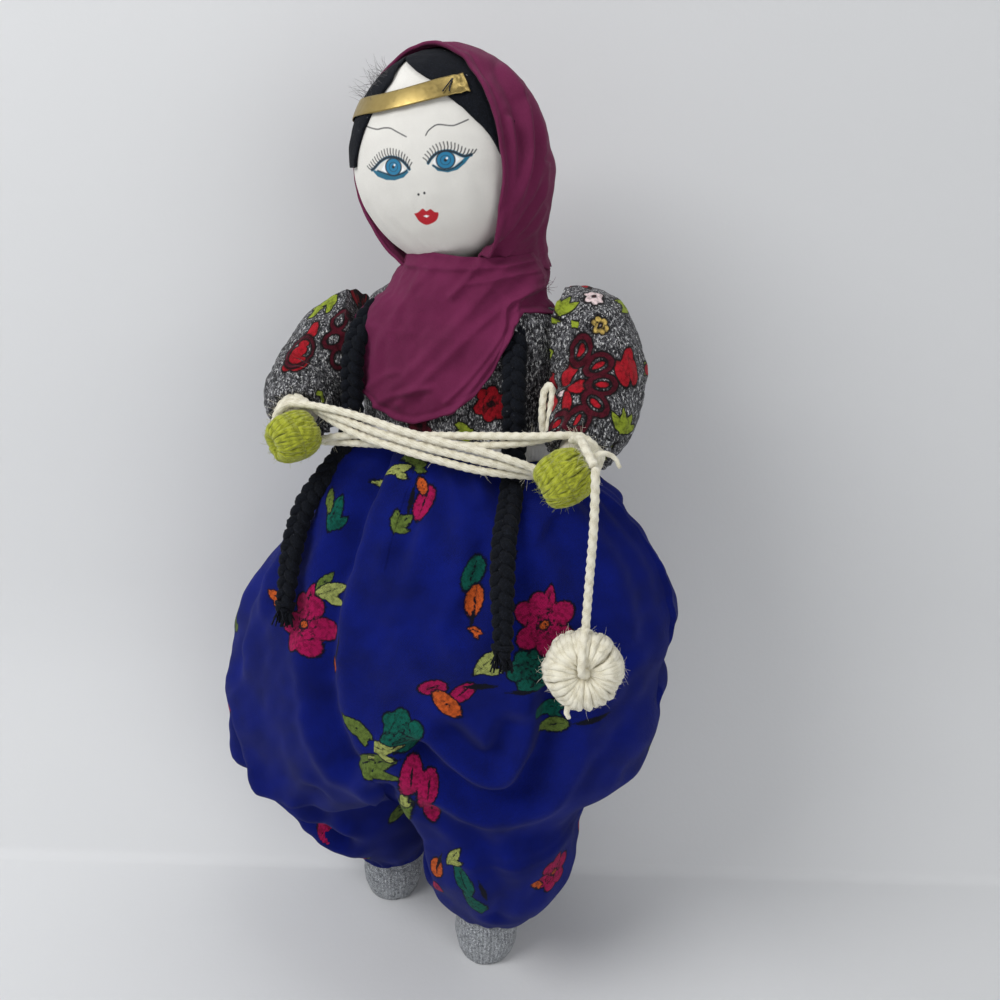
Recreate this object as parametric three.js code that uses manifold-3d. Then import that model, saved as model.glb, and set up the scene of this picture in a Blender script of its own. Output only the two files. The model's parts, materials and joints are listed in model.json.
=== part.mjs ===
// A hand-made cloth rag doll, 360 mm tall, in a head scarf, a padded jacket and wide shalwar
// trousers. It winds yarn: a skein runs between its two wool-wound hands and a ball of the
// same yarn hangs from the doll's left hand. Millimetres, +Z up, the face looks along -Y and
// the doll's left side is +X. The origin is on the floor under the middle of the doll.

import * as THREE from 'three';
import { mergeVertices } from 'three/addons/utils/BufferGeometryUtils.js';
import Module from 'manifold-3d';

const wasm = await Module();
wasm.setup();

// Clearances
const seatGap = 0.35;        // between two pieces that touch
const hingeGap = 0.5;        // between two pieces that turn against each other

// Feet and legs
const legs = {
  right: { hipX: -24, knee: [-28, 5, 88], ankle: [-32, 13.8], cuffZ: 19, thigh: 12, calf: 8.5, fanX: -1.5 },
  left: { hipX: 22, knee: [22.5, -2, 88], ankle: [22.6, -3.4], cuffZ: 22, thigh: 12, calf: 8.5, fanX: 0.5 },
};
const hipY = 0;
const hipZ = 165;
const legSwing = 15;          // degrees each way
const legFootZ = 6;           // lower end of the stuffed leg, inside the shoe
const fanMargin = 4;          // the room for a swinging leg is this much wider than the thigh
const fanBeyond = 20;         // and reaches this far past the seat
const shoe = { halfWidth: 13.3, halfLength: 13, height: 40, solePlane: 7.5, forward: 1 };

// Torso: height, half width and half depth of each level
const torsoX = 3;
const torsoY = 2;
const torsoLevels = [
  [169, 26, 14], [176, 33, 18.5], [200, 35, 19.5], [228, 35.3, 18], [250, 36.3, 19],
  [268, 36, 18.5], [278, 31, 15.5], [284, 17, 11.5],
];
const jacketCloth = 1.9;
const jacketHemZ = 208;
const armholeHalf = 37.8;     // from the middle of the torso to each armhole
const bandCloth = 1.6;
const bandLowZ = 225.6;
const bandHighZ = 231.6;
const collarGap = 1.5;        // from the neck's ball to the neck hole of the jacket
const collarDepth = 40;

// Neck and head
const neckPivot = new THREE.Vector3(3, 4, 287);
const neckBall = 11;
const neckPost = 8.5;
const neckTopZ = 312;
const headCentre = new THREE.Vector3(-2.2, 1, 322.8);
const headHalf = new THREE.Vector3(32, 29.5, 34.4);
const chinTaper = 0.04;
const headTurn = 12;          // degrees towards the doll's left, as it is sewn on
const headLean = -9.5;        // degrees towards the doll's right shoulder
const hairFelt = 0.9;
const foil = 0.55;
const hoodCloth = 1.4;
const scarfSphere = 30;       // the hood turns on the neck wrap at this radius
const wrapRise = 12.5;        // how far the neck wrap stands over the pivot
const bibCloth = 1.7;
const headNod = 10;           // degrees each way
const hoodHemZ = 288;
const windowBack = 6;         // the hood leaves the head open this far back on its right
const stitchThread = 0.6;
const headRoom = 3.6;         // from the head's skin to the scarf that it nods over
const wrapLowZ = 284;         // above this the neck wrap is rounded for the hood

// Hair and headband: outlines in the face's own x and z
const hairBack = 8;           // how far the felt runs back past the middle of the head
const hairOutlines = {
  right: [[-9, 31], [-9, 45], [-45, 45], [-45, 1], [-28.4, 2.5], [-25.7, 7.8], [-20.5, 14.6],
    [-14.4, 21.2], [-10.5, 28.3]],
  left: [[-8, 31], [-4.4, 28.8], [4.5, 19.8], [10.4, 14.6], [15.9, 9.5], [18.9, 4.3], [27, 0],
    [45, 0], [45, 45], [-8, 45]],
};
const headbandOutline = [
  [-45, 12.5], [-8.4, 16.9], [4.7, 18.8], [13.9, 19.6], [10.9, 25.1], [4.7, 24.2], [-8.4, 21.7],
  [-45, 17.5],
];
const stitchOutline = [[7.2, 21], [8.2, 20.6], [10.4, 23.6], [9.4, 24.2]];

// Scarf under the head: height, middle x and y, half width, half depth
const drapeLevels = [
  [hoodHemZ, 8, 9, 24, 24], [300, 4, 8, 25, 26], [312, -1, 4, 33, 29.5], [326, -2, 2, 34, 31],
];
const drapeFront = { y: -2, topZ: 318, turn: 18 };
const wrapLevels = [
  [274, 4, 3, 31, 22], [280, 5, 4, 28, 23], [288, 7, 6, 24.5, 22.5], [300, 6, 6, 22, 21],
];

// Arms: the middle line of each sleeve and its radius, from the shoulder to the wrist
const arms = {
  right: {
    line: [[-34.8, 4, 264], [-45, 3, 258], [-53, -2, 246], [-55, -10, 238], [-51, -20, 233.5]],
    wrist: [-51, -20, 233.5],
    hand: [-42, -38.5, 231],
  },
  left: {
    line: [[40.8, 4, 269.5], [49, 3.6, 268.5], [55, 0, 258], [56.8, -8, 245.5], [56.5, -20, 235.5]],
    wrist: [56.5, -20, 235.5],
    hand: [58.5, -40, 232],
    core: [[40.8, 4, 263], [48, 2.5, 260], [54, -2, 251], [56.5, -10, 242], [56.5, -20, 235.5]],
  },
};
const sleeveRadii = [14.5, 16.5, 16.4, 15.5, 11.6];
const armCore = 6.4;

// Wound wool of the hands and of the yarn ball: loops pass over the rim and through the eye
const handWinding = { rim: 8.2, eye: 4.1, half: 7.2, loops: 10, yarn: 1.25, tight: 0.8, steps: 7 };
const ballWinding = { rim: 11.8, eye: 3.6, half: 8.4, loops: 15, yarn: 1.4, tight: 0.45, steps: 10 };
const windingSides = { hand: 4, ball: 5 };
const coreGap = 0.9;          // between a winding and the cushion inside it
const ballTurn = 22;          // degrees: which way the eye of the ball looks
const ballTilt = 16;

// Yarn
const yarn = 2.6;
const strandPivot = new THREE.Vector3(71.8, -51, 239);
const yarnBend = 1.8;
const ballCentreZ = 173;
const skeinTurns = 3;
const skeinPitch = 3.4;
const skeinStart = 2.6;       // from the end of the sleeve to the first turn
const skeinTurnRadius = armCore + seatGap + yarn / 2;
const skeinBow = { front: 9, back: 2.5 };
const skeinRoute = [[61.5, -36, 244.2], [66.5, -44.5, 243.5], [70.9, -50.05, 240.8]];
const tailRoute = [[43.4, -18.3, 238.6], [42.8, -18.2, 243], [42.6, -16.6, 248], [43, -15.4, 253]];

// Braids
const braid = 4.4;
const braids = {
  right: {
    upper: [[-29.5, -16, 264], [-30.2, -17, 246], [-30.6, -18, 234], [-33, -20, 222], [-37.5, -27, 213],
      [-41.5, -33.5, 204]],
    lower: [[-41.5, -33.5, 204], [-42.3, -41.5, 191], [-41, -48, 178], [-40.5, -51, 169]],
  },
  left: {
    upper: [[31.5, -17.2, 264], [32.2, -17.8, 246], [33, -18.4, 231], [35.5, -26, 218], [39, -40, 207]],
    lower: [[39, -40, 207], [42.5, -49, 194], [45, -53.5, 182], [46, -56, 174]],
  },
};

// Shalwar: height, middle x and y, half width, half depth
const seatLevels = [
  [225.2, 3, 1, 41, 25], [221, 4, 0, 44, 29], [214, 6, 0.5, 53, 35.5], [204, 7.8, 0, 62, 43],
  [190, 9.5, 1, 71, 50], [171, 6, 1, 82, 56], [148, -1.2, 1.5, 88, 59], [123, -5.2, 1.5, 91, 59.5],
  [106, -8.2, 1.5, 90, 58.5], [94, -13, 1.5, 84, 54.5], [84, -18.5, 1.5, 72, 47.5], [76, -20, 0, 58, 38],
];
const lobeLevels = {
  right: [
    [19.5, -32, 13.5, 13.5, 14], [29, -33, 12, 18, 20], [42, -37, 9, 25, 30], [60, -41.5, 7, 34, 39],
    [78, -46, 4.5, 43, 46], [98, -49, 1, 47.5, 52],
  ],
  left: [
    [22.5, 22.6, -3.4, 13.5, 13.5], [31, 26, -5, 20, 20], [44, 28, -8, 26, 27], [58, 30, -9, 29.5, 34],
    [76, 31, -9.5, 30, 39.5], [98, 32, -10, 29.5, 41],
  ],
};
const seatReach = 85;         // the seat ends at this radius round the hip line
const seatPoints = 32;
const lobePoints = 20;
// Each fold is a line over the front, in x and z, with its depth and half width
const folds = [
  { line: [[-17, 222], [-21, 190], [-22, 141], [-12, 118]], depth: 4, width: 7 },
  { line: [[16, 128], [34, 113], [50, 113], [58, 131], [62, 154]], depth: 6, width: 7 },
  { line: [[27, 138], [40, 130], [48, 142]], depth: 3, width: 6 },
  { line: [[-80, 104], [-74, 86], [-62, 68], [-34, 55]], depth: 4, width: 7 },
  { line: [[2, 108], [5, 86], [8, 62]], depth: 5, width: 6 },
];
const backFolds = [
  { line: [[62, 200], [73, 184], [84, 150]], depth: 4, width: 7 },
  { line: [[-10, 222], [-14, 180], [-22, 120]], depth: 4, width: 8 },
  { line: [[24, 222], [30, 180], [34, 110]], depth: 4, width: 8 },
];

// Colours and finishes
const finish = (color, roughness, metalness = 0) =>
  new THREE.MeshStandardMaterial({ color, roughness, metalness });
const materials = {
  skin: finish(0xdcdad2, 0.9),
  stuffing: finish(0xe6e0d2, 0.95),
  hair: finish(0x14161c, 0.95),
  foil: finish(0xb9a052, 0.3, 0.9),
  thread: finish(0x1c1c20, 0.8),
  scarf: finish(0x7b2f5a, 0.75),
  jacket: finish(0x5c5c60, 0.9),
  band: finish(0xe8e6e2, 0.7),
  shalwar: finish(0x16268a, 0.95),
  yarn: finish(0xece6d2, 0.95),
  hands: finish(0x98983a, 0.95),
  shoe: finish(0x9aa0a6, 0.6),
};

const vector = ([x, y, z]) => new THREE.Vector3(x, y, z);
const radians = THREE.MathUtils.degToRad;

// Rows of points, one closed loop each, become a closed skin with a point at each end.
function skin(rows) {
  const count = rows[0].length;
  const positions = rows.flat().flatMap((p) => [p.x, p.y, p.z]);
  const index = [];
  for (let r = 0; r + 1 < rows.length; r += 1) {
    for (let i = 0; i < count; i += 1) {
      const a = r * count + i;
      const b = r * count + (i + 1) % count;
      index.push(a, b, b + count, a, b + count, a + count);
    }
  }
  for (const [row, first] of [[0, true], [rows.length - 1, false]]) {
    const middle = new THREE.Vector3();
    rows[row].forEach((p) => middle.addScaledVector(p, 1 / count));
    positions.push(middle.x, middle.y, middle.z);
    const tip = positions.length / 3 - 1;
    for (let i = 0; i < count; i += 1) {
      const a = row * count + i;
      const b = row * count + (i + 1) % count;
      index.push(...(first ? [b, a, tip] : [a, b, tip]));
    }
  }
  return outward(positions, index);
}

// A closed mesh whose faces point out, whichever way its rows ran.
function outward(positions, index) {
  const p = (i) => new THREE.Vector3().fromArray(positions, 3 * i);
  let volume = 0;
  for (let t = 0; t < index.length; t += 3) {
    volume += p(index[t]).dot(p(index[t + 1]).cross(p(index[t + 2])));
  }
  const turned = volume < 0 ? index.slice().reverse() : index;
  const geometry = new THREE.BufferGeometry();
  geometry.setAttribute('position', new THREE.Float32BufferAttribute(positions, 3));
  geometry.setIndex(turned);
  return geometry;
}

// A solid that can be cut and joined, from any closed geometry.
function solid(source) {
  const geometry = source.clone();
  geometry.deleteAttribute('normal');
  geometry.deleteAttribute('uv');
  const merged = mergeVertices(geometry, 1e-4);
  return new wasm.Manifold(new wasm.Mesh({
    numProp: 3,
    vertProperties: new Float32Array(merged.attributes.position.array),
    triVerts: new Uint32Array(merged.index.array),
  }));
}

// Slivers smaller than this are merged away after cutting
const sliver = 0.01;

function fromSolid(manifold) {
  const mesh = manifold.simplify(sliver).getMesh();
  const geometry = new THREE.BufferGeometry();
  geometry.setAttribute('position', new THREE.BufferAttribute(mesh.vertProperties, 3));
  geometry.setIndex(new THREE.BufferAttribute(mesh.triVerts, 1));
  return geometry;
}

const cut = (piece, ...tools) => tools.reduce((left, tool) => left.subtract(tool), piece);

const sphere = (centre, radius, sides = 16) =>
  solid(new THREE.SphereGeometry(radius, sides, sides / 2).translate(centre.x, centre.y, centre.z));

const block = (low, high) => solid(new THREE.BoxGeometry(
  high[0] - low[0],
  high[1] - low[1],
  high[2] - low[2],
).translate((low[0] + high[0]) / 2, (low[1] + high[1]) / 2, (low[2] + high[2]) / 2));

const wide = 400;             // larger than the doll, for cutting tools

const cylinderX = (y, z, radius, sides = 48) =>
  solid(new THREE.CylinderGeometry(radius, radius, wide, sides).rotateZ(Math.PI / 2)
    .translate(0, y, z));

// A level ring of points, each of them moved out or in by shape.
function ring([z, x, y, halfWidth, halfDepth], count, grow = 0, shape = () => 0) {
  const points = [];
  for (let i = 0; i < count; i += 1) {
    const angle = (2 * Math.PI * i) / count;
    const out = new THREE.Vector2(Math.cos(angle), Math.sin(angle));
    const px = x + (halfWidth + grow) * out.x;
    const py = y + (halfDepth + grow) * out.y;
    const move = shape(px, py, z, angle);
    points.push(new THREE.Vector3(px + move * out.x, py + move * out.y, z));
  }
  return points;
}

// Levels become more, evenly blended ones, so that a body swells and tapers smoothly.
function blended(levels, parts) {
  const last = levels.length - 1;
  const out = [];
  for (let i = 0; i < last; i += 1) {
    for (let k = 0; k < parts; k += 1) {
      const t = k / parts;
      const at = (j) => {
        const p = [i - 1, i, i + 1, i + 2].map((n) => levels[Math.min(Math.max(n, 0), last)][j]);
        return 0.5 * (2 * p[1] + (p[2] - p[0]) * t + (2 * p[0] - 5 * p[1] + 4 * p[2] - p[3]) * t * t
          + (3 * p[1] - p[0] - 3 * p[2] + p[3]) * t * t * t);
      };
      out.push(levels[i].map((_, j) => at(j)));
    }
  }
  out.push(levels[last]);
  return out;
}

// A round limb along a smooth line, with a radius for each of its points and round ends.
function limb(points, radii, sides, steps, roundStart = false, roundEnd = false) {
  const curve = new THREE.CatmullRomCurve3(points.map(vector));
  const frames = curve.computeFrenetFrames(steps, false);
  const radiusAt = (t) => {
    const u = t * (radii.length - 1);
    const i = Math.min(Math.floor(u), radii.length - 2);
    const s = u - i;
    return radii[i] + (radii[i + 1] - radii[i]) * s * s * (3 - 2 * s);
  };
  const row = (middle, k, radius) => Array.from({ length: sides }, (_, i) => {
    const angle = (2 * Math.PI * i) / sides;
    return middle.clone()
      .addScaledVector(frames.normals[k], radius * Math.cos(angle))
      .addScaledVector(frames.binormals[k], radius * Math.sin(angle));
  });
  const rows = [];
  const cap = (k, sign) => [60, 30].map((degrees) => {
    const at = curve.getPoint(k / steps);
    const radius = radiusAt(k / steps);
    const middle = at.addScaledVector(frames.tangents[k], sign * radius * Math.sin(radians(degrees)));
    return row(middle, k, radius * Math.cos(radians(degrees)));
  });
  if (roundStart) rows.push(...cap(0, -1));
  for (let k = 0; k <= steps; k += 1) rows.push(row(curve.getPoint(k / steps), k, radiusAt(k / steps)));
  if (roundEnd) rows.push(...cap(steps, 1).reverse());
  return skin(rows);
}

// A tube whose radius may change, along points that are already close together.
function tube(points, radiusAt, sides) {
  const rows = [];
  const side = new THREE.Vector3();
  points.forEach((point, i) => {
    const along = points[Math.min(i + 1, points.length - 1)].clone()
      .sub(points[Math.max(i - 1, 0)]).normalize();
    if (i === 0) side.set(0, 0, 1).cross(along).normalize();
    if (i === 0 && side.lengthSq() < 0.5) side.set(1, 0, 0);
    side.addScaledVector(along, -side.dot(along)).normalize();
    const up = along.clone().cross(side);
    rows.push(Array.from({ length: sides }, (_, k) => {
      const angle = (2 * Math.PI * k) / sides;
      return point.clone().addScaledVector(side, radiusAt(i) * Math.cos(angle))
        .addScaledVector(up, radiusAt(i) * Math.sin(angle));
    }));
  });
  return skin(rows);
}

// A round cord of one thickness along a smooth line.
function cord(points, diameter, steps) {
  const section = new THREE.Shape();
  section.absarc(0, 0, diameter / 2, 0, 2 * Math.PI);
  return new THREE.ExtrudeGeometry(section, {
    curveSegments: 4,
    steps,
    extrudePath: new THREE.CatmullRomCurve3(points),
  });
}

// The least gap between stretches of one tube that lie more than `apart` points from each other.
function leastGap(name, points, radiusAt, apart) {
  let least = Infinity;
  for (let i = 0; i < points.length; i += 1) {
    for (let j = i + apart; j < points.length; j += 1) {
      least = Math.min(least, points[i].distanceTo(points[j]) - radiusAt(i) - radiusAt(j));
    }
  }
  console.log(`${name}: least gap to itself ${least.toFixed(2)} mm`);
}

// Yarn wound over the rim of a cushion and through its eye, and the cushion it lies on.
function winding(name, { rim, eye, half, loops, yarn: thick, tight, steps }, sides) {
  const middle = (rim + eye) / 2;
  const reach = (rim - eye) / 2;
  const points = [];
  const bulge = [];
  for (let i = 0; i <= loops * steps; i += 1) {
    const round = (2 * Math.PI * i) / steps;
    const way = (2 * Math.PI * i) / (steps * (loops + 1));
    const out = middle + reach * Math.cos(round);
    points.push(new THREE.Vector3(out * Math.cos(way), out * Math.sin(way), half * Math.sin(round)));
    bulge.push(tight + (thick - tight) * ((out - eye) / (rim - eye)));
  }
  leastGap(name, points, (i) => bulge[i], Math.ceil(steps / 2));
  const core = [];
  const inner = reach - (thick + tight) / 2 - coreGap;
  const coreMiddle = middle + (tight - thick) / 2;
  const coreSteps = 7;
  for (let i = 0; i <= coreSteps; i += 1) {
    const angle = (2 * Math.PI * i) / coreSteps;
    const height = half - (thick + tight) / 2 - coreGap;
    core.push(new THREE.Vector2(coreMiddle + inner * Math.cos(angle), height * Math.sin(angle)));
  }
  return {
    wound: tube(points, (i) => bulge[i], sides),
    core: new THREE.LatheGeometry(core, 12).rotateX(Math.PI / 2),
  };
}

const doll = new THREE.Group();
const cordNodes = new Set();

function add(name, geometry, material, free = false) {
  geometry.computeVertexNormals();
  const mesh = new THREE.Mesh(geometry, material);
  mesh.name = name;
  doll.add(mesh);
  if (free) cordNodes.add(mesh);
  return mesh;
}

// Torso, jacket and waistband
const torsoPoints = 20;
const bodyLevels = (grow) => torsoLevels
  .map(([z, width, depth]) => ring([z, torsoX, torsoY, width, depth], torsoPoints, grow));
const torsoBody = solid(skin(bodyLevels(0)));
const jacketInner = solid(skin(bodyLevels(seatGap)));
const jacketOuter = solid(skin(bodyLevels(seatGap + jacketCloth)));
const hipRod = cylinderX(hipY, hipZ, legs.left.thigh + hingeGap);
const socket = sphere(neckPivot, neckBall + seatGap);
add('torso', fromSolid(cut(torsoBody, hipRod, socket)), materials.stuffing);

const armholeBlock = (grow) => block(
  [torsoX - armholeHalf - grow, -wide, jacketHemZ],
  [torsoX + armholeHalf + grow, wide, wide],
);
const neckHole = solid(new THREE.CylinderGeometry(
  neckBall + collarGap,
  neckBall + collarGap,
  collarDepth,
  16,
).rotateX(Math.PI / 2).translate(neckPivot.x, neckPivot.y, neckPivot.z));
const jacketRoom = solid(skin(bodyLevels(2 * seatGap + jacketCloth)));
add('jacket_body', fromSolid(cut(jacketOuter, jacketInner, neckHole)
  .intersect(armholeBlock(0))), materials.jacket);

const bandOuter = solid(skin(bodyLevels(2 * seatGap + jacketCloth + bandCloth)));
const bandSlice = block([-wide, -wide, bandLowZ], [wide, wide, bandHighZ]);
add('waistband', fromSolid(cut(bandOuter.intersect(bandSlice), jacketRoom)), materials.band);

// Neck
const post = solid(new THREE.CylinderGeometry(neckPost, neckPost, neckTopZ - neckPivot.z, 16)
  .rotateX(Math.PI / 2).translate(neckPivot.x, neckPivot.y, (neckTopZ + neckPivot.z) / 2));
const postRoom = solid(new THREE.CylinderGeometry(
  neckPost + seatGap,
  neckPost + seatGap,
  neckTopZ - neckPivot.z + seatGap,
  16,
).rotateX(Math.PI / 2).translate(neckPivot.x, neckPivot.y, (neckTopZ + neckPivot.z + seatGap) / 2));
add('neck', fromSolid(sphere(neckPivot, neckBall).add(post)), materials.stuffing);

// Head: an egg with a narrower chin, turned and leaned as it is sewn on
const headPlace = new THREE.Matrix4().makeRotationZ(radians(headTurn))
  .multiply(new THREE.Matrix4().makeRotationY(radians(headLean)))
  .setPosition(headCentre);
function egg(grow, sides = 22, rows = 14) {
  const geometry = new THREE.SphereGeometry(1, sides, rows).rotateX(Math.PI / 2);
  const place = geometry.attributes.position;
  for (let i = 0; i < place.count; i += 1) {
    const chin = 1 - chinTaper * Math.max(0, -place.getZ(i)) ** 1.6;
    place.setXYZ(
      i,
      place.getX(i) * (headHalf.x + grow) * chin,
      place.getY(i) * (headHalf.y + grow) * chin,
      place.getZ(i) * (headHalf.z + grow),
    );
  }
  return solid(geometry.applyMatrix4(headPlace));
}
add('head_ball', fromSolid(cut(egg(0), postRoom, socket)), materials.skin);

// A flat outline in the face's own x and z, pushed through the front of the head
function faceTool(shape, back = 0) {
  return solid(new THREE.ExtrudeGeometry(shape, { depth: 60, bevelEnabled: false, curveSegments: 8 })
    .rotateX(Math.PI / 2).translate(0, back, 0).applyMatrix4(headPlace));
}
const outline = (points) => new THREE.Shape(points.map(([x, z]) => new THREE.Vector2(x, z)));

const hairStart = seatGap;
const hairShell = cut(egg(hairStart + hairFelt), egg(hairStart));
for (const [side, points] of Object.entries(hairOutlines)) {
  const tool = faceTool(outline(points), hairBack);
  add(`hair_${side}`, fromSolid(hairShell.intersect(tool)), materials.hair);
}

const bandStart = hairStart + hairFelt + seatGap;
const headbandShell = cut(egg(bandStart + foil), egg(bandStart));
// The face opening of the hood, from below the chin round over the hair
function faceWindow(inset) {
  const opening = new THREE.Shape();
  opening.moveTo(5 - inset, -60);
  opening.lineTo(5 - inset, -31);
  opening.bezierCurveTo(14 - inset, -26, 20.2 - inset, -13, 20.2 - inset, 1);
  opening.bezierCurveTo(20.2 - inset, 15, 13, 30, 2, 35 - inset);
  opening.bezierCurveTo(-10, 38 - inset, -34 + inset, 24, -34 + inset, 0);
  opening.lineTo(-34 + inset, -60);
  const side = outline([[-60, -60], [-22, -60], [-22, 60], [-60, 60]]);
  return inset > 0 ? faceTool(opening) : faceTool(opening).add(faceTool(side, windowBack));
}
const foilStrip = headbandShell.intersect(faceTool(outline(headbandOutline)));
add('headband', fromSolid(foilStrip.intersect(faceWindow(seatGap))), materials.foil);
const stitchStart = bandStart + foil + seatGap;
const stitchShell = cut(egg(stitchStart + stitchThread), egg(stitchStart));
const stitchTool = faceTool(outline(stitchOutline));
add('headband_stitch', fromSolid(stitchShell.intersect(stitchTool)), materials.thread);

// Scarf: the hood turns with the head, the neck wrap and bib stay on the chest
const hoodStart = bandStart;
const scarfSides = 24;
const drape = solid(skin(drapeLevels.map((level) => ring(level, scarfSides))));
const hoodSphere = sphere(neckPivot, scarfSphere + hingeGap, scarfSides);
const front = block([-wide, -wide, -wide], [wide, drapeFront.y, drapeFront.topZ])
  .rotate(0, 0, drapeFront.turn);
const hood = cut(
  egg(hoodStart + hoodCloth).add(cut(drape, front)),
  egg(hoodStart),
  hoodSphere,
  faceWindow(0),
);
const underHem = block([-wide, -wide, -wide], [wide, wide, hoodHemZ]);
add('scarf_hood', fromSolid(cut(hood, underHem)), materials.scarf);

const wrapBody = solid(skin(wrapLevels.map((level) => ring(level, torsoPoints))));
const headSweep = [-headNod, 0, headNod].map((nod) => {
  const centre = headCentre.clone().sub(neckPivot)
    .applyAxisAngle(new THREE.Vector3(1, 0, 0), radians(nod)).add(neckPivot);
  return sphere(centre, headHalf.z + headRoom, scarfSides);
});
const neckClear = sphere(neckPivot, neckBall + hingeGap);
const wrapTop = block([-wide, -wide, neckPivot.z + wrapRise], [wide, wide, wide]);
const bibShape = new THREE.Shape();
bibShape.moveTo(-21, 292);
bibShape.lineTo(-28, 270);
bibShape.bezierCurveTo(-31.5, 258, -30, 248, -22, 240.5);
bibShape.bezierCurveTo(-12, 236, -4, 236.5, 4, 239.5);
bibShape.bezierCurveTo(16, 246, 25, 258, 29.5, 274);
bibShape.lineTo(36, 284);
bibShape.lineTo(30, 292);
const bibTool = solid(new THREE.ExtrudeGeometry(bibShape, {
  depth: 60,
  bevelEnabled: false,
  curveSegments: 5,
}).rotateX(Math.PI / 2));
const bibShell = cut(solid(skin(bodyLevels(2 * seatGap + jacketCloth + bibCloth))), jacketRoom);
const braidRoom = Object.values(braids).map(({ upper }) =>
  solid(limb(upper, [braid + seatGap, braid + seatGap], 8, 8, true, true)));
const wrapAndBib = cut(wrapBody, jacketRoom).add(bibShell.intersect(bibTool));
const wrapLimit = sphere(neckPivot, scarfSphere, scarfSides)
  .add(block([-wide, -wide, 0], [wide, wide, wrapLowZ]));
const bib = cut(wrapAndBib, ...headSweep, neckClear, post, wrapTop, ...braidRoom);
add('scarf_bib', fromSolid(bib.intersect(wrapLimit)), materials.scarf);

// Arms
const sleeveBlock = {
  right: block([-wide, -wide, 0], [torsoX - armholeHalf - hingeGap, wide, wide]),
  left: block([torsoX + armholeHalf + hingeGap, -wide, 0], [wide, wide, wide]),
};
const handWound = winding('hand winding', handWinding, windingSides.hand);
function towards(from, to) {
  const along = vector(to).sub(vector(from)).normalize();
  return new THREE.Matrix4().makeRotationFromQuaternion(
    new THREE.Quaternion().setFromUnitVectors(new THREE.Vector3(0, 0, 1), along),
  ).setPosition(vector(to));
}
const beyond = (from, to, extra) => {
  const along = vector(to).sub(vector(from)).normalize();
  return vector(to).addScaledVector(along, extra).toArray();
};
for (const [side, { line, wrist, hand, core = line }] of Object.entries(arms)) {
  const fingertip = beyond(wrist, hand, handWinding.half - armCore * 0.6);
  const coreLine = [...core, hand, fingertip];
  const shape = (grow) => solid(limb(
    coreLine,
    [armCore, armCore, armCore, armCore, armCore, handWinding.eye - handWinding.tight - seatGap,
      handWinding.eye - handWinding.tight - seatGap].map((r) => r + grow),
    8,
    12,
    false,
    true,
  ));
  const sleeve = solid(limb(line, sleeveRadii, 14, 9, true, true));
  add(`arm_${side}`, fromSolid(shape(0).intersect(sleeveBlock[side])), materials.stuffing);
  const beyondWrist = solid(new THREE.BoxGeometry(60, 60, 60).translate(0, 0, 30)
    .applyMatrix4(towards(wrist, hand).setPosition(vector(wrist))));
  add(`sleeve_${side}`, fromSolid(cut(sleeve, shape(seatGap), beyondWrist)
    .intersect(sleeveBlock[side])), materials.jacket);
  add(`hand_${side}`, handWound.wound.clone().applyMatrix4(towards(wrist, hand)), materials.hands);
  add(`hand_core_${side}`, handWound.core.clone().applyMatrix4(towards(wrist, hand)), materials.hands);
}

// Skein: figure-eight loops round both wrists, then over the left hand to the hanging strand
const wristFrame = (side) => {
  const { wrist, hand } = arms[side];
  const along = vector(hand).sub(vector(wrist)).normalize();
  const out = new THREE.Vector3(side === 'left' ? 1 : -1, 0, 0);
  out.addScaledVector(along, -out.dot(along)).normalize();
  const up = new THREE.Vector3(0, 0, 1);
  up.addScaledVector(along, -up.dot(along)).addScaledVector(out, -up.dot(out)).normalize();
  return { start: vector(wrist), along, out, up };
};
const frames = { left: wristFrame('left'), right: wristFrame('right') };
const turnSteps = 7;
const passSteps = 7;
function turnPoint(side, turn, angle) {
  const { start, along, out, up } = frames[side];
  return start.clone().addScaledVector(along, skeinStart + turn * skeinPitch)
    .addScaledVector(out, skeinTurnRadius * Math.cos(angle))
    .addScaledVector(up, skeinTurnRadius * Math.sin(angle));
}
// A pass keeps its place in the bundle: beside its neighbours at the wrists, stacked half way
function passPoints(from, to, turn, nextTurn, startUp, bow) {
  const points = [];
  const middleTurn = (skeinTurns - 1) / 2;
  for (let k = 1; k < passSteps; k += 1) {
    const t = k / passSteps;
    const a = turnPoint(from, middleTurn, (startUp ? 1 : -1) * Math.PI / 2);
    const b = turnPoint(to, middleTurn, (startUp ? -1 : 1) * Math.PI / 2);
    const along = frames[from].along.clone().lerp(frames[to].along, t).normalize();
    const shift = (turn + (nextTurn - turn) * t - middleTurn) * skeinPitch;
    const roll = (Math.PI / 2) * Math.min(1, 1.35 * Math.sin(Math.PI * t));
    points.push(a.lerp(b, t)
      .addScaledVector(along, shift * Math.cos(roll))
      .add(new THREE.Vector3(0, -bow * Math.sin(Math.PI * t), shift * Math.sin(roll))));
  }
  return points;
}
const skeinPoints = [];
for (let turn = 0; turn < skeinTurns; turn += 1) {
  const half = Math.PI / 2;
  for (let k = 0; k <= turnSteps; k += 1) {
    skeinPoints.push(turnPoint('right', turn, -half + (2 * half * k) / turnSteps));
  }
  skeinPoints.push(...passPoints('right', 'left', turn, turn, true, skeinBow.front));
  for (let k = 0; k <= turnSteps; k += 1) {
    skeinPoints.push(turnPoint('left', turn, -half + (2 * half * k) / turnSteps));
  }
  if (turn + 1 < skeinTurns) {
    skeinPoints.push(...passPoints('left', 'right', turn, turn + 1, true, skeinBow.back));
  }
}
const overHand = new THREE.CatmullRomCurve3([
  skeinPoints.at(-1),
  ...skeinRoute.map(vector),
]).getPoints(7).slice(1);
skeinPoints.push(...overHand);
leastGap('skein', skeinPoints, () => yarn / 2, 3);
add('yarn_skein', tube(skeinPoints, () => yarn / 2, 5), materials.yarn, true);
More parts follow.
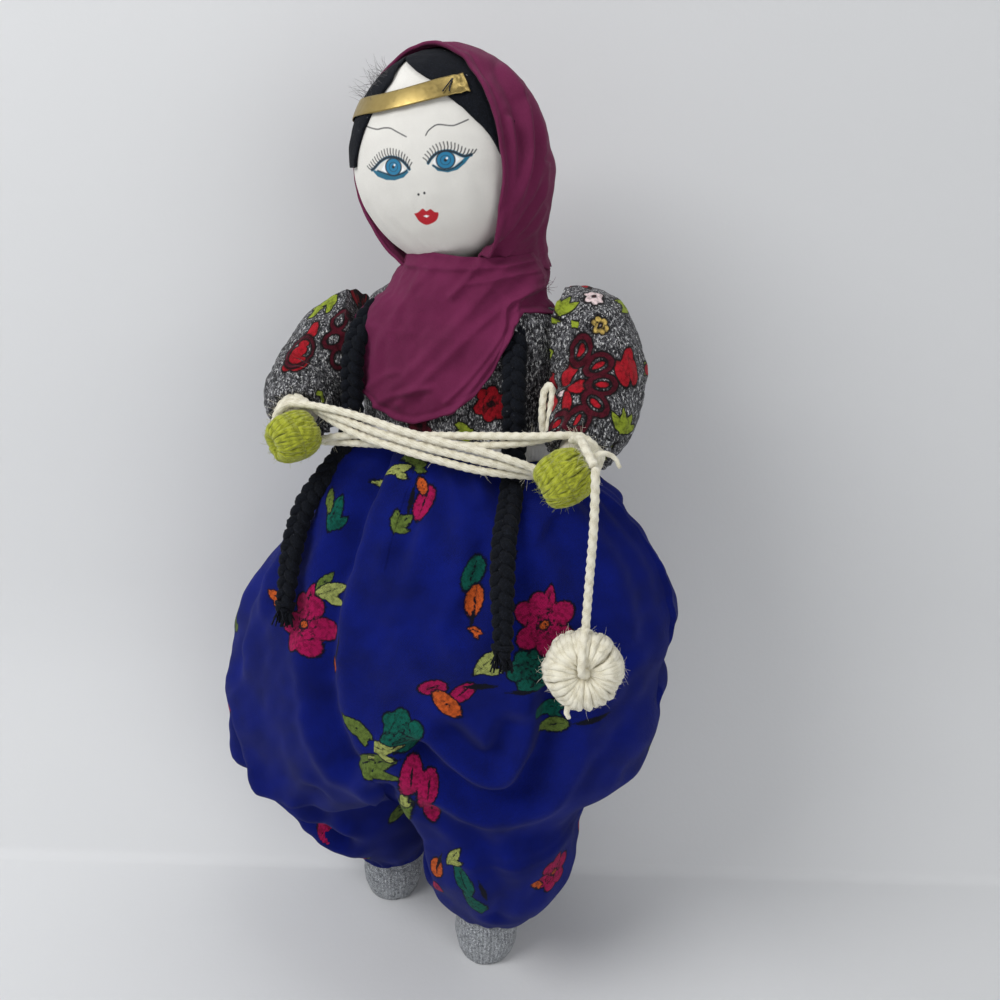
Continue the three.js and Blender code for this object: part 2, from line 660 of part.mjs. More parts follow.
add('yarn_tail', cord(tailRoute.map(vector), yarn, 6), materials.yarn, true);
const bendForm = new THREE.SphereGeometry(yarnBend, 8, 6).translate(...strandPivot.toArray());
add('yarn_bend', bendForm, materials.yarn, true);

// Hanging strand and yarn ball
const ballTop = ballCentreZ + ballWinding.rim + ballWinding.yarn;
add('yarn_strand', cord([
  new THREE.Vector3(strandPivot.x, strandPivot.y, strandPivot.z - yarnBend - seatGap),
  new THREE.Vector3(strandPivot.x, strandPivot.y, ballTop + hingeGap),
], yarn, 1), materials.yarn, true);
const ballWound = winding('yarn ball', ballWinding, windingSides.ball);
const ballPlace = new THREE.Matrix4().makeRotationZ(radians(ballTurn))
  .multiply(new THREE.Matrix4().makeRotationX(radians(90 - ballTilt)))
  .setPosition(strandPivot.x, strandPivot.y, ballCentreZ);
add('yarn_ball', ballWound.wound.clone().applyMatrix4(ballPlace), materials.yarn, true);
add('yarn_ball_core', ballWound.core.clone().applyMatrix4(ballPlace), materials.yarn, true);

// Braids: the upper part is held under the scarf and the skein, the lower part hangs free
for (const [side, { upper, lower }] of Object.entries(braids)) {
  const pivot = vector(lower[0]);
  const upperBody = solid(limb(upper, [braid, braid], 8, 8, true, true));
  add(`braid_${side}_upper`, fromSolid(cut(upperBody, sphere(pivot, braid + hingeGap))), materials.hair);
  add(`braid_${side}_lower`, limb(lower, [braid, braid, braid * 0.8], 8, 6, true, true), materials.hair);
}

// Shalwar
function foldDepth(x, z, lines) {
  let depth = 0;
  for (const fold of lines) {
    let nearest = Infinity;
    for (let i = 0; i + 1 < fold.line.length; i += 1) {
      const a = new THREE.Vector2(...fold.line[i]);
      const b = new THREE.Vector2(...fold.line[i + 1]);
      const span = b.clone().sub(a);
      const point = new THREE.Vector2(x, z).sub(a);
      const t = THREE.MathUtils.clamp(point.dot(span) / span.lengthSq(), 0, 1);
      nearest = Math.min(nearest, point.addScaledVector(span, -t).length());
    }
    depth += fold.depth * Math.exp(-((nearest / fold.width) ** 2));
  }
  return depth;
}
const gatherCount = 11;
const gatherDepth = 1.6;
const gatherFade = 22;
const gatherStart = 6;
function clothMove(x, y, z, angle) {
  const topZ = seatLevels[0][0];
  const gather = gatherDepth * Math.cos(gatherCount * angle) * Math.exp(-(topZ - z) / gatherFade);
  return gather * Math.min(1, (topZ - z) / gatherStart) - foldDepth(x, z, y < 0 ? folds : backFolds);
}
const seatSkin = skin(blended(seatLevels, 2).map((level) => ring(level, seatPoints, 0, clothMove)));
const pocket = solid(skin(bodyLevels(seatGap))).add(jacketRoom
  .intersect(block([-wide, -wide, jacketHemZ - seatGap], [wide, wide, wide])));
const reach = cylinderX(hipY, hipZ, seatReach);
const upperHalf = block([-wide, -wide, hipZ], [wide, wide, wide]);

// The room that a leg needs inside the seat: a fan as wide as the thigh, leaned like the leg
function legFan({ hipX, ankle, cuffZ, thigh, fanX }) {
  const room = thigh + hingeGap;
  const reachOut = seatReach + fanBeyond;
  const half = thigh + fanMargin;
  const lean = THREE.MathUtils.radToDeg(Math.atan2(ankle[1] - hipY, hipZ - cuffZ));
  const swing = radians(legSwing + 1);
  const sector = new THREE.Shape();
  sector.moveTo(-room * Math.cos(swing), room * Math.sin(swing));
  sector.absarc(0, 0, room, Math.PI - swing, swing, true);
  sector.lineTo(room * Math.cos(swing) + reachOut * Math.sin(swing), -reachOut);
  sector.lineTo(-room * Math.cos(swing) - reachOut * Math.sin(swing), -reachOut);
  return solid(new THREE.ExtrudeGeometry(sector, {
    depth: 2 * half,
    bevelEnabled: false,
    curveSegments: 5,
  }).rotateX(Math.PI / 2).rotateZ(Math.PI / 2))
    .rotate(lean, 0, 0)
    .translate(hipX + fanX - half, hipY, hipZ);
}
const lowerBraidRoom = Object.values(braids).map(({ lower }) =>
  solid(limb(lower, [braid + hingeGap, braid + hingeGap], 8, 6, true, true)));
add('shalwar_seat', fromSolid(cut(
  solid(seatSkin).intersect(reach.add(upperHalf)),
  pocket,
  legFan(legs.right),
  legFan(legs.left),
  ...braidRoom,
  ...lowerBraidRoom,
)), materials.shalwar);

// Legs, their trouser lobes and shoes
const lobeRoom = cylinderX(hipY, hipZ, seatReach + hingeGap);
const lobeTopZ = 125;
const sideBlock = {
  right: block([-wide, -wide, 0], [-hingeGap / 2, wide, lobeTopZ]),
  left: block([hingeGap / 2, -wide, 0], [wide, wide, lobeTopZ]),
};
for (const [side, leg] of Object.entries(legs)) {
  const line = [
    [leg.hipX, hipY, hipZ], leg.knee, [leg.ankle[0], leg.ankle[1], leg.cuffZ + 8],
    [leg.ankle[0], leg.ankle[1], legFootZ + leg.calf * 0.7],
  ];
  const radii = [leg.thigh, (leg.thigh + leg.calf) / 2, leg.calf, leg.calf];
  add(`leg_${side}`, limb(line, radii, 10, 6, true, true), materials.stuffing);
  const room = solid(limb(line, radii.map((r) => r + seatGap), 10, 6, true, true));
  const lobe = solid(skin(blended(lobeLevels[side], 2)
    .map((level) => ring(level, lobePoints, 0, clothMove))));
  const lobePiece = cut(lobe, lobeRoom, room).intersect(sideBlock[side]);
  add(`shalwar_leg_${side}`, fromSolid(lobePiece), materials.shalwar);
  const form = new THREE.SphereGeometry(1, 14, 10).rotateX(Math.PI / 2)
    .scale(shoe.halfWidth, shoe.halfLength, shoe.height / 2)
    .translate(leg.ankle[0], leg.ankle[1] - shoe.forward, shoe.height / 2 - shoe.solePlane);
  const inLobe = solid(skin(blended(lobeLevels[side], 2)
    .map((level) => ring(level, lobePoints, seatGap, clothMove))));
  add(`shoe_${side}`, fromSolid(cut(solid(form), room, block([-wide, -wide, -wide], [wide, wide, 0]))
    .subtract(inLobe)), materials.shoe);
}

// The origin goes to the floor under the middle of the doll, measured without the free yarn
const extent = new THREE.Box3();
doll.children.filter((mesh) => !cordNodes.has(mesh)).forEach((mesh) => extent.expandByObject(mesh));
const middle = extent.getCenter(new THREE.Vector3());
doll.position.set(-middle.x, -middle.y, -extent.min.z);
doll.updateMatrixWorld(true);

export default doll;
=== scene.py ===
"""A hand-made cloth rag doll that winds yarn, built over its frame.

Sizes are in millimetres in the doll's own frame. Every mesh is turned into metres in the
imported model's frame when it is made.
"""

import json
import logging
import math
from dataclasses import dataclass
from enum import Enum
from typing import Any, Callable, Sequence

import bpy
import numpy as np
from mathutils import Matrix, Vector


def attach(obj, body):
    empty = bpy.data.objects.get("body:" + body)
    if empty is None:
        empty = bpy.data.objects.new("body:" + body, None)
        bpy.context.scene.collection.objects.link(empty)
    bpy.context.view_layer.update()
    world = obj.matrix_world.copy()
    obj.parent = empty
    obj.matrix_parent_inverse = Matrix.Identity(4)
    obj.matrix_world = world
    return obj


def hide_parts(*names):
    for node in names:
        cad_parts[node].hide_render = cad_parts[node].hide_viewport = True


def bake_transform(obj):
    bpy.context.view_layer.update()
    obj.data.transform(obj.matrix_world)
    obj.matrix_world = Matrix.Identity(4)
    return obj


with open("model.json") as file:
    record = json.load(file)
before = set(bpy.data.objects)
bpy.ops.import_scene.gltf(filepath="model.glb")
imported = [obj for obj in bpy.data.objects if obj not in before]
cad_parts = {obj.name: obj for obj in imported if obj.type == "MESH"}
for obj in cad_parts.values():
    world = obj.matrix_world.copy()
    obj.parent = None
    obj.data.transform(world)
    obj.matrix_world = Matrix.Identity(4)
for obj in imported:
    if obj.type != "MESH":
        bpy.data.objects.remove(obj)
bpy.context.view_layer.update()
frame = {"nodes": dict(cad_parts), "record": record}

LOG = logging.getLogger("rag_doll")
MM = 0.001
PIXELS_PER_MM = 2.9
WAVES = 9
NECK_PIVOT = np.array([3.0, 4.0, 287.0])
JOINTS = {j["name"]: j for j in frame["record"]["behaviour"]["joints"]}
SHIFT = np.array(JOINTS["head_nod"]["pos_m"]) / MM - NECK_PIVOT

Points = np.ndarray
Piece = bpy.types.Object
Colour = tuple[float, float, float]


def hue(red: int, green: int, blue: int) -> Colour:
    """Turn a colour as it is seen, 0 to 255, into the linear one that shaders take."""
    parts = [c / 255 for c in (red, green, blue)]
    return tuple(c / 12.92 if c <= 0.04045 else ((c + 0.055) / 1.055) ** 2.4 for c in parts)


def metres(points: Points) -> Points:
    """Turn points of the doll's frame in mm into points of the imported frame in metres."""
    return (np.asarray(points, float) + SHIFT) * MM


# ---- Numbers into shapes


def ease(value: Points) -> Points:
    """Blend softly from 0 to 1."""
    t = np.clip(value, 0.0, 1.0)
    return t * t * (3 - 2 * t)


def unit(vectors: Points) -> Points:
    """Scale vectors to length one."""
    length = np.linalg.norm(vectors, axis=-1, keepdims=True)
    return vectors / np.maximum(length, 1e-9)


def smooth_line(points: Sequence, parts: int) -> Points:
    """Pass a smooth curve through points.

    Args:
        points: The points on the way, each with any number of coordinates.
        parts: How many stretches each span gets.

    Returns:
        The points of the curve, the given ones among them.
    """
    p = np.asarray(points, float)
    p = np.vstack([2 * p[0] - p[1], p, 2 * p[-1] - p[-2]])
    out = []
    for i in range(1, len(p) - 2):
        t = np.linspace(0, 1, parts, endpoint=False)[:, None]
        a, b, c, d = p[i - 1:i + 3]
        out.append(0.5 * (2 * b + (c - a) * t + (2 * a - 5 * b + 4 * c - d) * t ** 2
                          + (3 * b - a - 3 * c + d) * t ** 3))
    return np.vstack([*out, p[-2:-1]])


def full_turn(count: int) -> Points:
    """Give the angles of so many even parts of a full turn."""
    return np.linspace(0, 2 * np.pi, count, endpoint=False)


def turn_about(axis: int, degrees: float) -> Points:
    """Give the matrix that turns points about the axis with the given number."""
    cos, sin = math.cos(math.radians(degrees)), math.sin(math.radians(degrees))
    one, two = (axis + 1) % 3, (axis + 2) % 3
    matrix = np.eye(3)
    matrix[[one, one, two, two], [one, two, one, two]] = cos, -sin, sin, cos
    return matrix


def even_line(points: Points, step: float) -> Points:
    """Walk along a line in even steps of about the given length."""
    points = np.asarray(points, float)
    ways = np.concatenate([[0], np.cumsum(np.linalg.norm(np.diff(points, axis=0), axis=1))])
    at = np.linspace(0, ways[-1], max(2, round(ways[-1] / step)) + 1)
    return np.stack([np.interp(at, ways, points[:, k]) for k in range(points.shape[1])], axis=1)


def line_distance(points: Points, line: Points) -> Points:
    """Give the distance of each point to a line of straight stretches."""
    best = np.full(len(points), np.inf)
    line = np.asarray(line, float)
    for a, b in zip(line[:-1], line[1:]):
        span = b - a
        t = np.clip(((points - a) @ span) / max(span @ span, 1e-9), 0, 1)
        best = np.minimum(best, np.linalg.norm(points - a - t[:, None] * span, axis=1))
    return best


def shape_distance(points: Points, outline: Points) -> Points:
    """Give the distance of flat points to a closed outline, below zero inside it."""
    outline = np.asarray(outline, float)
    closed = np.vstack([outline, outline[:1]])
    inside = np.zeros(len(points), bool)
    for a, b in zip(closed[:-1], closed[1:]):
        crosses = (a[1] > points[:, 1]) != (b[1] > points[:, 1])
        rise = b[1] - a[1] if abs(b[1] - a[1]) > 1e-9 else 1e-9
        inside ^= crosses & (points[:, 0] < a[0] + (points[:, 1] - a[1]) * (b[0] - a[0]) / rise)
    return np.where(inside, -1, 1) * line_distance(points, closed)


def ripple(points: Points, size: float, seed: int) -> Points:
    """Give each point a soft random height between about -1 and 1.

    Args:
        points: Where to look.
        size: How far the humps stand apart.
        seed: Which of the random fields it is.

    Returns:
        One height for each point.
    """
    rng = np.random.default_rng(seed)
    ways = unit(rng.normal(size=(WAVES, points.shape[-1])))
    pace = 2 * np.pi / size * rng.uniform(0.6, 1.5, WAVES)
    return np.sin(points @ ways.T * pace + rng.uniform(0, 6.3, WAVES)).sum(axis=-1) / WAVES ** 0.5


def grid_faces(rows: int, columns: int, closed: bool, ring: bool = False) -> list[tuple[int, ...]]:
    """Join rows of points into four-sided faces.

    Args:
        rows: How many rows there are.
        columns: How many points each row has.
        closed: Whether the last column joins the first.
        ring: Whether the last row joins the first.

    Returns:
        The faces, as numbers of points.
    """
    r, c = np.meshgrid(np.arange(rows if ring else rows - 1),
                       np.arange(columns if closed else columns - 1), indexing="ij")
    below, right = (r + 1) % rows * columns, (c + 1) % columns
    corners = [r * columns + c, r * columns + right, below + right, below + c]
    return np.stack(corners, axis=-1).reshape(-1, 4).tolist()


@dataclass
class Shell:
    """Points and faces that become one mesh.

    Args:
        points: The points in mm.
        faces: The faces, as numbers of points.
        uv: A place on the cloth or along the yarn for each point, in mm.
    """

    points: Points
    faces: list
    uv: Points | None = None

    def turned(self) -> "Shell":
        """Turn every face over."""
        self.faces = [tuple(reversed(face)) for face in self.faces]
        return self

    def outward(self, middle: Sequence = (0.0, 0.0, 0.0)) -> "Shell":
        """Turn the faces so that they point away from the middle."""
        volume = 0.0
        for face in self.faces:
            a, *rest = self.points[list(face)] - np.array(middle)
            volume += sum(a @ np.cross(b, c) for b, c in zip(rest[:-1], rest[1:]))
        return self.turned() if volume < 0 else self


def closed_grid(rows: Points, uv: Points | None = None) -> Shell:
    """Close rings of points into one skin with a point at each end.

    Args:
        rows: The rings, as an array of rows, columns and coordinates.
        uv: A place for each of these points.

    Returns:
        The closed skin.
    """
    count, columns = rows.shape[:2]
    points = np.vstack([rows.reshape(-1, 3), rows[0].mean(axis=0), rows[-1].mean(axis=0)])
    faces = grid_faces(count, columns, True)
    low, high = len(points) - 2, len(points) - 1
    for i in range(columns):
        j = (i + 1) % columns
        faces.append((j, i, low))
        faces.append(((count - 1) * columns + i, (count - 1) * columns + j, high))
    if uv is not None:
        uv = np.vstack([uv.reshape(-1, 2), uv[0].mean(axis=0), uv[-1].mean(axis=0)])
    return Shell(points, faces, uv)


def sweep(path: Points, radius: Any, sides: int, lobes: int = 0, depth: float = 0.0,
          twist: float = 6.0) -> Shell:
    """Lead a round or plied section along a line.

    Args:
        path: The line's points.
        radius: One radius, or one for each point.
        sides: How many points the section has.
        lobes: How many plies show on the section.
        depth: How deep the grooves between the plies are, as a share of the radius.
        twist: The length in which the plies turn round once.

    Returns:
        The closed tube, with places along and round it.
    """
    path = np.asarray(path, float)
    along = unit(np.gradient(path, axis=0))
    way = np.concatenate([[0], np.cumsum(np.linalg.norm(np.diff(path, axis=0), axis=1))])
    side = np.cross([0.0, 0.0, 1.0], along[0])
    if np.linalg.norm(side) < 0.3:
        side = np.cross([0.0, 1.0, 0.0], along[0])
    sides_at = []
    for direction in along:
        side = side - direction * (side @ direction)
        side = side / max(np.linalg.norm(side), 1e-9)
        sides_at.append(side)
    sides_at = np.array(sides_at)
    up = np.cross(along, sides_at)
    angle = full_turn(sides)
    turn = 2 * np.pi * way / twist
    wave = 1 + depth * (np.abs(np.cos(lobes * (angle[None] - turn[:, None]) / 2)) - 0.6) if lobes else 1
    size = np.broadcast_to(radius, len(path))[:, None] * wave * np.ones((len(path), sides))
    rows = (path[:, None] + sides_at[:, None] * (size * np.cos(angle))[..., None]
            + up[:, None] * (size * np.sin(angle))[..., None])
    mean = float(np.mean(radius))
    uv = np.stack(np.broadcast_arrays(way[:, None], (angle * mean)[None]), axis=-1)
    return closed_grid(rows, uv)


def oval(x: Any, y: Any, a: Any, b: Any, turn: Any, z: Any) -> Points:
    """Give the points of a level oval round a middle, in the given directions."""
    return np.stack(np.broadcast_arrays(x + a * np.cos(turn), y + b * np.sin(turn), z), axis=-1)


def joined(shells: Sequence[Shell]) -> Shell:
    """Put several shells into one."""
    faces: list = []
    start = 0
    for shell in shells:
        faces += [tuple(i + start for i in face) for face in shell.faces]
        start += len(shell.points)
    uv = np.vstack([s.uv for s in shells]) if all(s.uv is not None for s in shells) else None
    return Shell(np.vstack([s.points for s in shells]), faces, uv)


def make(name: str, shell: Shell, finish: bpy.types.Material, angle: float | None = None) -> Piece:
    """Make an object of a shell.

    Args:
        name: The piece's name.
        shell: Its points and faces, in mm.
        finish: Its material.
        angle: Edges sharper than this, in degrees, stay crisp.

    Returns:
        The object, at the origin, with its place in its mesh.
    """
    mesh = bpy.data.meshes.new(name)
    mesh.from_pydata(metres(shell.points).tolist(), [], shell.faces)
    mesh.materials.append(finish)
    mesh.shade_smooth()
    if shell.uv is not None:
        layer = mesh.uv_layers.new(name="cloth")
        corner = np.zeros(len(mesh.loops), np.int32)
        mesh.loops.foreach_get("vertex_index", corner)
        layer.data.foreach_set("uv", shell.uv[corner].astype(np.float32).ravel())
    mesh.validate()
    piece = bpy.data.objects.new(name, mesh)
    bpy.context.collection.objects.link(piece)
    if angle is not None:
        pick_only(piece)
        bpy.ops.object.shade_smooth_by_angle(angle=math.radians(angle))
    LOG.info("%s: %d faces", name, len(mesh.polygons))
    return piece


def pick_only(piece: Piece) -> None:
    """Select one object and nothing else."""
    bpy.ops.object.select_all(action="DESELECT")
    piece.select_set(True)
    bpy.context.view_layer.objects.active = piece


def thicken(piece: Piece, cloth: float) -> None:
    """Give a sheet, whose faces point out, its thickness in mm, inwards."""
    pick_only(piece)
    wall = piece.modifiers.new("thickness", "SOLIDIFY")
    wall.thickness = cloth * MM
    wall.offset = -1
    bpy.ops.object.modifier_apply(modifier=wall.name)
    piece.data.shade_smooth()


def dress(piece: Piece, body: str = "", nodes: Sequence[str] = ()) -> None:
    """Hang a piece on its body and hide the frame's nodes that it replaces.

    Args:
        piece: The piece.
        body: The body that it rides on, if any.
        nodes: The nodes that it replaces.
    """
    if body:
        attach(piece, body)
    if nodes:
        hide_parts(*nodes)


def mesh_points(piece: Piece) -> tuple[Points, Points]:
    """Give the points of a piece in mm in the doll's frame, and the directions they face."""
    count = len(piece.data.vertices)
    place = np.zeros(count * 3)
    piece.data.vertices.foreach_get("co", place)
    facing = np.zeros(count * 3, np.float32)
    piece.data.vertex_normals.foreach_get("vector", facing)
    return place.reshape(-1, 3) / MM - SHIFT, facing.reshape(-1, 3).astype(float)


# ---- Camera and stage


@dataclass(frozen=True)
class PhotoView:
    """The camera that sees the doll as the photograph does, in the doll's frame."""

    place: tuple = (150.45, -322.65, 332.0)
    yaw: float = 21.85
    pitch: float = 20.0
    roll: float = 1.8
    focus: float = 1000.0
    middle: float = 500.0

    def axes(self) -> tuple[Points, Points, Points]:
        """Give the directions to the right, down and ahead in the picture."""
        y, p, r = (math.radians(a) for a in (self.yaw, self.pitch, self.roll))
        ahead = np.array([-math.sin(y) * math.cos(p), math.cos(y) * math.cos(p), -math.sin(p)])
        right = np.array([math.cos(y), math.sin(y), 0.0])
        down = np.cross(ahead, right)
        return (right * math.cos(r) - down * math.sin(r),
                right * math.sin(r) + down * math.cos(r), ahead)

    def project(self, points: Points) -> Points:
        """Give the picture's x and y of each point, and its depth."""
        right, down, ahead = self.axes()
        v = points - np.array(self.place)
        depth = v @ ahead
        return np.stack([self.middle + self.focus * (v @ right) / depth,
                         self.middle + self.focus * (v @ down) / depth, depth], axis=-1)

    def spot(self, points: Points, facing: Points, x: float, y: float) -> int:
        """Find the point of a surface that a place in the picture shows.

        Args:
            points: The surface's points.
            facing: The directions they face.
            x: The place's distance from the picture's left edge.
            y: Its distance from the top edge.

        Returns:
            The number of the point.
        """
        seen = self.project(points)
        towards = unit(np.array(self.place) - points)
        off = np.hypot(seen[:, 0] - x, seen[:, 1] - y)
        off += np.where((facing * towards).sum(axis=1) > 0.05, 0, 60)
        off += 0.02 * (seen[:, 2] - seen[:, 2].min())
        return int(off.argmin())

    def floor(self, x: float, y: float) -> Points:
        """Give the place on the floor that a place in the picture shows."""
        right, down, ahead = self.axes()
        ray = ahead + right * (x - self.middle) / self.focus + down * (y - self.middle) / self.focus
        start = np.array(self.place)
        return start + ray * (-start[2] / ray[2])

    def build(self) -> None:
        """Set the camera up."""
        right, down, ahead = self.axes()
        data = bpy.data.cameras.new("camera")
        data.sensor_width = 36
        data.lens = 36 * self.focus / (2 * self.middle)
        data.clip_start = 0.01
        camera = bpy.data.objects.new("camera", data)
        turn = Matrix(np.stack([right, -down, -ahead], axis=1).tolist())
        camera.matrix_world = Matrix.Translation(Vector(metres(self.place))) @ turn.to_4x4()
        bpy.context.collection.objects.link(camera)
        bpy.context.scene.camera = camera


class LampKind(Enum):
    """What a lamp does in the studio: its place, size in mm and power in watts."""

    KEY = ((-420, -720, 900), 620, 7.4)
    FILL = ((760, -560, 420), 620, 1.9)
    TOP = ((60, 60, 1100), 500, 1.8)


@dataclass
class Studio:
    """A pale floor that turns up into a pale wall, and soft lamps."""

    view: PhotoView
    cove: float = 7.0
    wide: float = 1600.0
    deep: float = 1300.0
    high: float = 1500.0
    world: float = 0.335
    steep: float = math.radians(66)
    lean: tuple = ((18.0, 44.0), (31.0, 76.0), (37.0, 100.0), (40.0, 130.0), (41.0, 200.0))

    def build(self) -> None:
        """Build the sheet of paper and hang the lamps."""
        left, right = self.view.floor(0, 851), self.view.floor(1000, 879)
        along = unit(right - left)
        back = np.array([-along[1], along[0], 0.0])
        middle = (left + right) / 2
        profile = [(-self.deep, 0.0)]
        for a in np.linspace(0, self.steep, 9):
            profile.append((-self.cove + self.cove * math.sin(a), self.cove - self.cove * math.cos(a)))
        profile += [*self.lean, (self.lean[-1][0], self.high)]
        rows = np.array([[middle + back * y + along * x + np.array([0, 0, z])
                          for x in np.linspace(-self.wide, self.wide, 9)] for y, z in profile])
        sheet = Shell(rows.reshape(-1, 3), grid_faces(len(profile), 9, False))
        make("floor", sheet, PaperFinish().build())
        for lamp in LampKind:
            self.lamp(lamp)
        world = bpy.data.worlds.new("studio")
        world.use_nodes = True
        world.node_tree.nodes["Background"].inputs[0].default_value = (*hue(246, 248, 252), 1)
        world.node_tree.nodes["Background"].inputs[1].default_value = self.world
        bpy.context.scene.world = world
        bpy.context.scene.view_settings.view_transform = "Standard"

    def lamp(self, kind: LampKind) -> None:
        """Hang one soft lamp that looks at the doll's chest."""
        place, size, power = kind.value
        data = bpy.data.lights.new(kind.name.lower(), "AREA")
        data.shape = "DISK"
        data.size = size * MM
        data.energy = power
        lamp = bpy.data.objects.new(kind.name.lower(), data)
        lamp.location = metres(place)
        aim = Vector(metres((0, 0, 190))) - lamp.location
        lamp.rotation_euler = aim.to_track_quat("-Z", "Y").to_euler()
        bpy.context.collection.objects.link(lamp)


# ---- Finishes


class Shader:
    """One material under construction, with short names for its nodes."""

    def __init__(self, name: str, roughness: float, sheen: float = 0.0, metal: float = 0.0) -> None:
        """Start a material with its constant values.

        Args:
            name: The material's name.
            roughness: How matt it is.
            sheen: How much its fuzz catches the light.
            metal: How metallic it is.
        """
        self.material = bpy.data.materials.new(name)
        self.material.use_nodes = True
        self.tree = self.material.node_tree
        self.tree.nodes.clear()
        self.surface = self.tree.nodes.new("ShaderNodeBsdfPrincipled")
        self.output = self.tree.nodes.new("ShaderNodeOutputMaterial")
        self.tree.links.new(self.surface.outputs[0], self.output.inputs[0])
        self.surface.inputs["Roughness"].default_value = roughness
        self.surface.inputs["Metallic"].default_value = metal
        self.surface.inputs["Sheen Weight"].default_value = sheen
        self.surface.inputs["Sheen Roughness"].default_value = 0.5
        self.surface.inputs["Specular IOR Level"].default_value = 0.5 if metal else 0.15
        place = self.tree.nodes.new("ShaderNodeTexCoord")
        self.facing = place.outputs["Normal"]
        self.place = self.node("ShaderNodeVectorMath", 0, place.outputs["Object"],
                               (1000.0, 1000.0, 1000.0), operation="MULTIPLY")
        self.uv = place.outputs["UV"]

    def node(self, kind: str, output: int, *inputs: Any, **settings: Any) -> Any:
        """Add a node, set or link its inputs in order and give one output."""
        node = self.tree.nodes.new(kind)
        for key, value in settings.items():
            setattr(node, key, value)
        for socket, value in zip(node.inputs, inputs):
            self.feed(socket, value)
        return node.outputs[output]

    def feed(self, socket: Any, value: Any) -> None:
        """Set a socket to a value, or link it to another node."""
        if value is None:
            return
        if isinstance(value, bpy.types.NodeSocket):
            self.tree.links.new(value, socket)
        elif isinstance(value, tuple) and socket.type == "RGBA":
            socket.default_value = (*value[:3], 1.0)
        else:
            socket.default_value = value

    def maths(self, operation: str, *values: Any) -> Any:
        """Work out a number."""
        return self.node("ShaderNodeMath", 0, *values, operation=operation)

    def noise(self, size: float, detail: float = 2.0, rough: float = 0.5, vector: Any = None) -> Any:
        """Give soft noise with humps about the given number of mm apart."""
        return self.node("ShaderNodeTexNoise", 0, vector or self.place, None, 1 / size, detail, rough)

    def cells(self, size: float) -> Any:
        """Give each cell of about the given size in mm its own random colour."""
        return self.node("ShaderNodeTexVoronoi", 1, self.place, None, 1 / size)

    def parts(self, vector: Any) -> Any:
        """Split a vector into its three numbers."""
        return self.node("ShaderNodeSeparateXYZ", 0, vector).node.outputs

    def span(self, value: Any, low: float, high: float, to: tuple[float, float] = (0.0, 1.0)) -> Any:
        """Stretch the part of a value between two levels softly over another range."""
        return self.node("ShaderNodeMapRange", 0, value, low, high, *to, interpolation_type="SMOOTHSTEP")

    def blend(self, share: Any, first: Any, second: Any) -> Any:
        """Mix two colours."""
        node = self.tree.nodes.new("ShaderNodeMix")
        node.data_type = "RGBA"
        for index, value in ((0, share), (6, first), (7, second)):
            self.feed(node.inputs[index], value)
        return node.outputs[2]

    def weave(self, pitch: float) -> Any:
        """Give the height of a plain weave, seen square to each part of the surface."""
        steep = self.parts(self.facing)
        wobble = self.node("ShaderNodeTexNoise", 1, self.place, None, 0.5)
        place = self.node("ShaderNodeVectorMath", 0, self.place, wobble, operation="ADD")
        waves = [self.maths("SINE", self.maths("MULTIPLY", part, 2 * math.pi / pitch))
                 for part in self.parts(place)]
        total = None
        for k in range(3):
            crossed = self.maths("MULTIPLY", waves[(k + 1) % 3], waves[(k + 2) % 3])
            share = self.maths("POWER", self.maths("ABSOLUTE", steep[k]), 3.0)
            part = self.maths("MULTIPLY", crossed, share)
            total = part if total is None else self.maths("ADD", total, part)
        return total

    def bump(self, height: Any, depth: float, strength: float = 1.0, under: Any = None) -> Any:
        """Raise the surface by a height times a depth.

        Args:
            height: The height.
            depth: The depth in mm.
            strength: How much of the relief shows.
            under: The normal of another relief that lies under it.

        Returns:
            The new normal.
        """
        node = self.tree.nodes.new("ShaderNodeBump")
        node.inputs["Strength"].default_value = strength
        node.inputs["Distance"].default_value = depth * MM
        self.feed(node.inputs["Height"], height)
        self.feed(node.inputs["Normal"], under)
        return node.outputs[0]

    def printed(self, base: Any, inks: Sequence[Colour], rough: float, rim: Colour | None = None) -> Any:
        """Print colours over a base, each where its own field of the piece says.

        Args:
            base: The colour of the cloth.
            inks: The colours, in the order in which they are printed.
            rough: How ragged their edges are.
            rim: A dark colour that runs round each but the last.

        Returns:
            The colour of the printed cloth.
        """
        soft = 0.05
        ragged = self.maths("MULTIPLY", self.maths("SUBTRACT", self.noise(0.9, 3, 0.6), 0.5), rough)
        for start in range(0, len(inks), 3):
            field = self.tree.nodes.new("ShaderNodeAttribute")
            field.attribute_name = f"print_{start // 3}"
            parts = self.node("ShaderNodeSeparateColor", 0, field.outputs["Color"]).node
            for k, ink in enumerate(inks[start:start + 3]):
                level = self.maths("ADD", parts.outputs[k], ragged)
                if rim and start + k < len(inks) - 1:
                    base = self.blend(self.span(level, 0.34 - soft, 0.34 + 2 * soft), base, rim)
                    dim = tuple(0.5 * c for c in ink)
                    ink = self.blend(self.span(self.noise(1.6, 4, 0.7), 0.42, 0.64), ink, dim)
                base = self.blend(self.span(level, 0.5 - soft, 0.5 + soft), base, ink)
        return base

    def see_through_behind(self) -> None:
        """Let the camera look through the back of a sheet."""
        behind = self.tree.nodes.new("ShaderNodeNewGeometry").outputs["Backfacing"]
        camera = self.tree.nodes.new("ShaderNodeLightPath").outputs["Is Camera Ray"]
        clear = self.tree.nodes.new("ShaderNodeBsdfTransparent")
        mix = self.tree.nodes.new("ShaderNodeMixShader")
        self.feed(mix.inputs[0], self.maths("MULTIPLY", behind, camera))
        self.tree.links.new(self.surface.outputs[0], mix.inputs[1])
        self.tree.links.new(clear.outputs[0], mix.inputs[2])
        self.tree.links.new(mix.outputs[0], self.output.inputs[0])

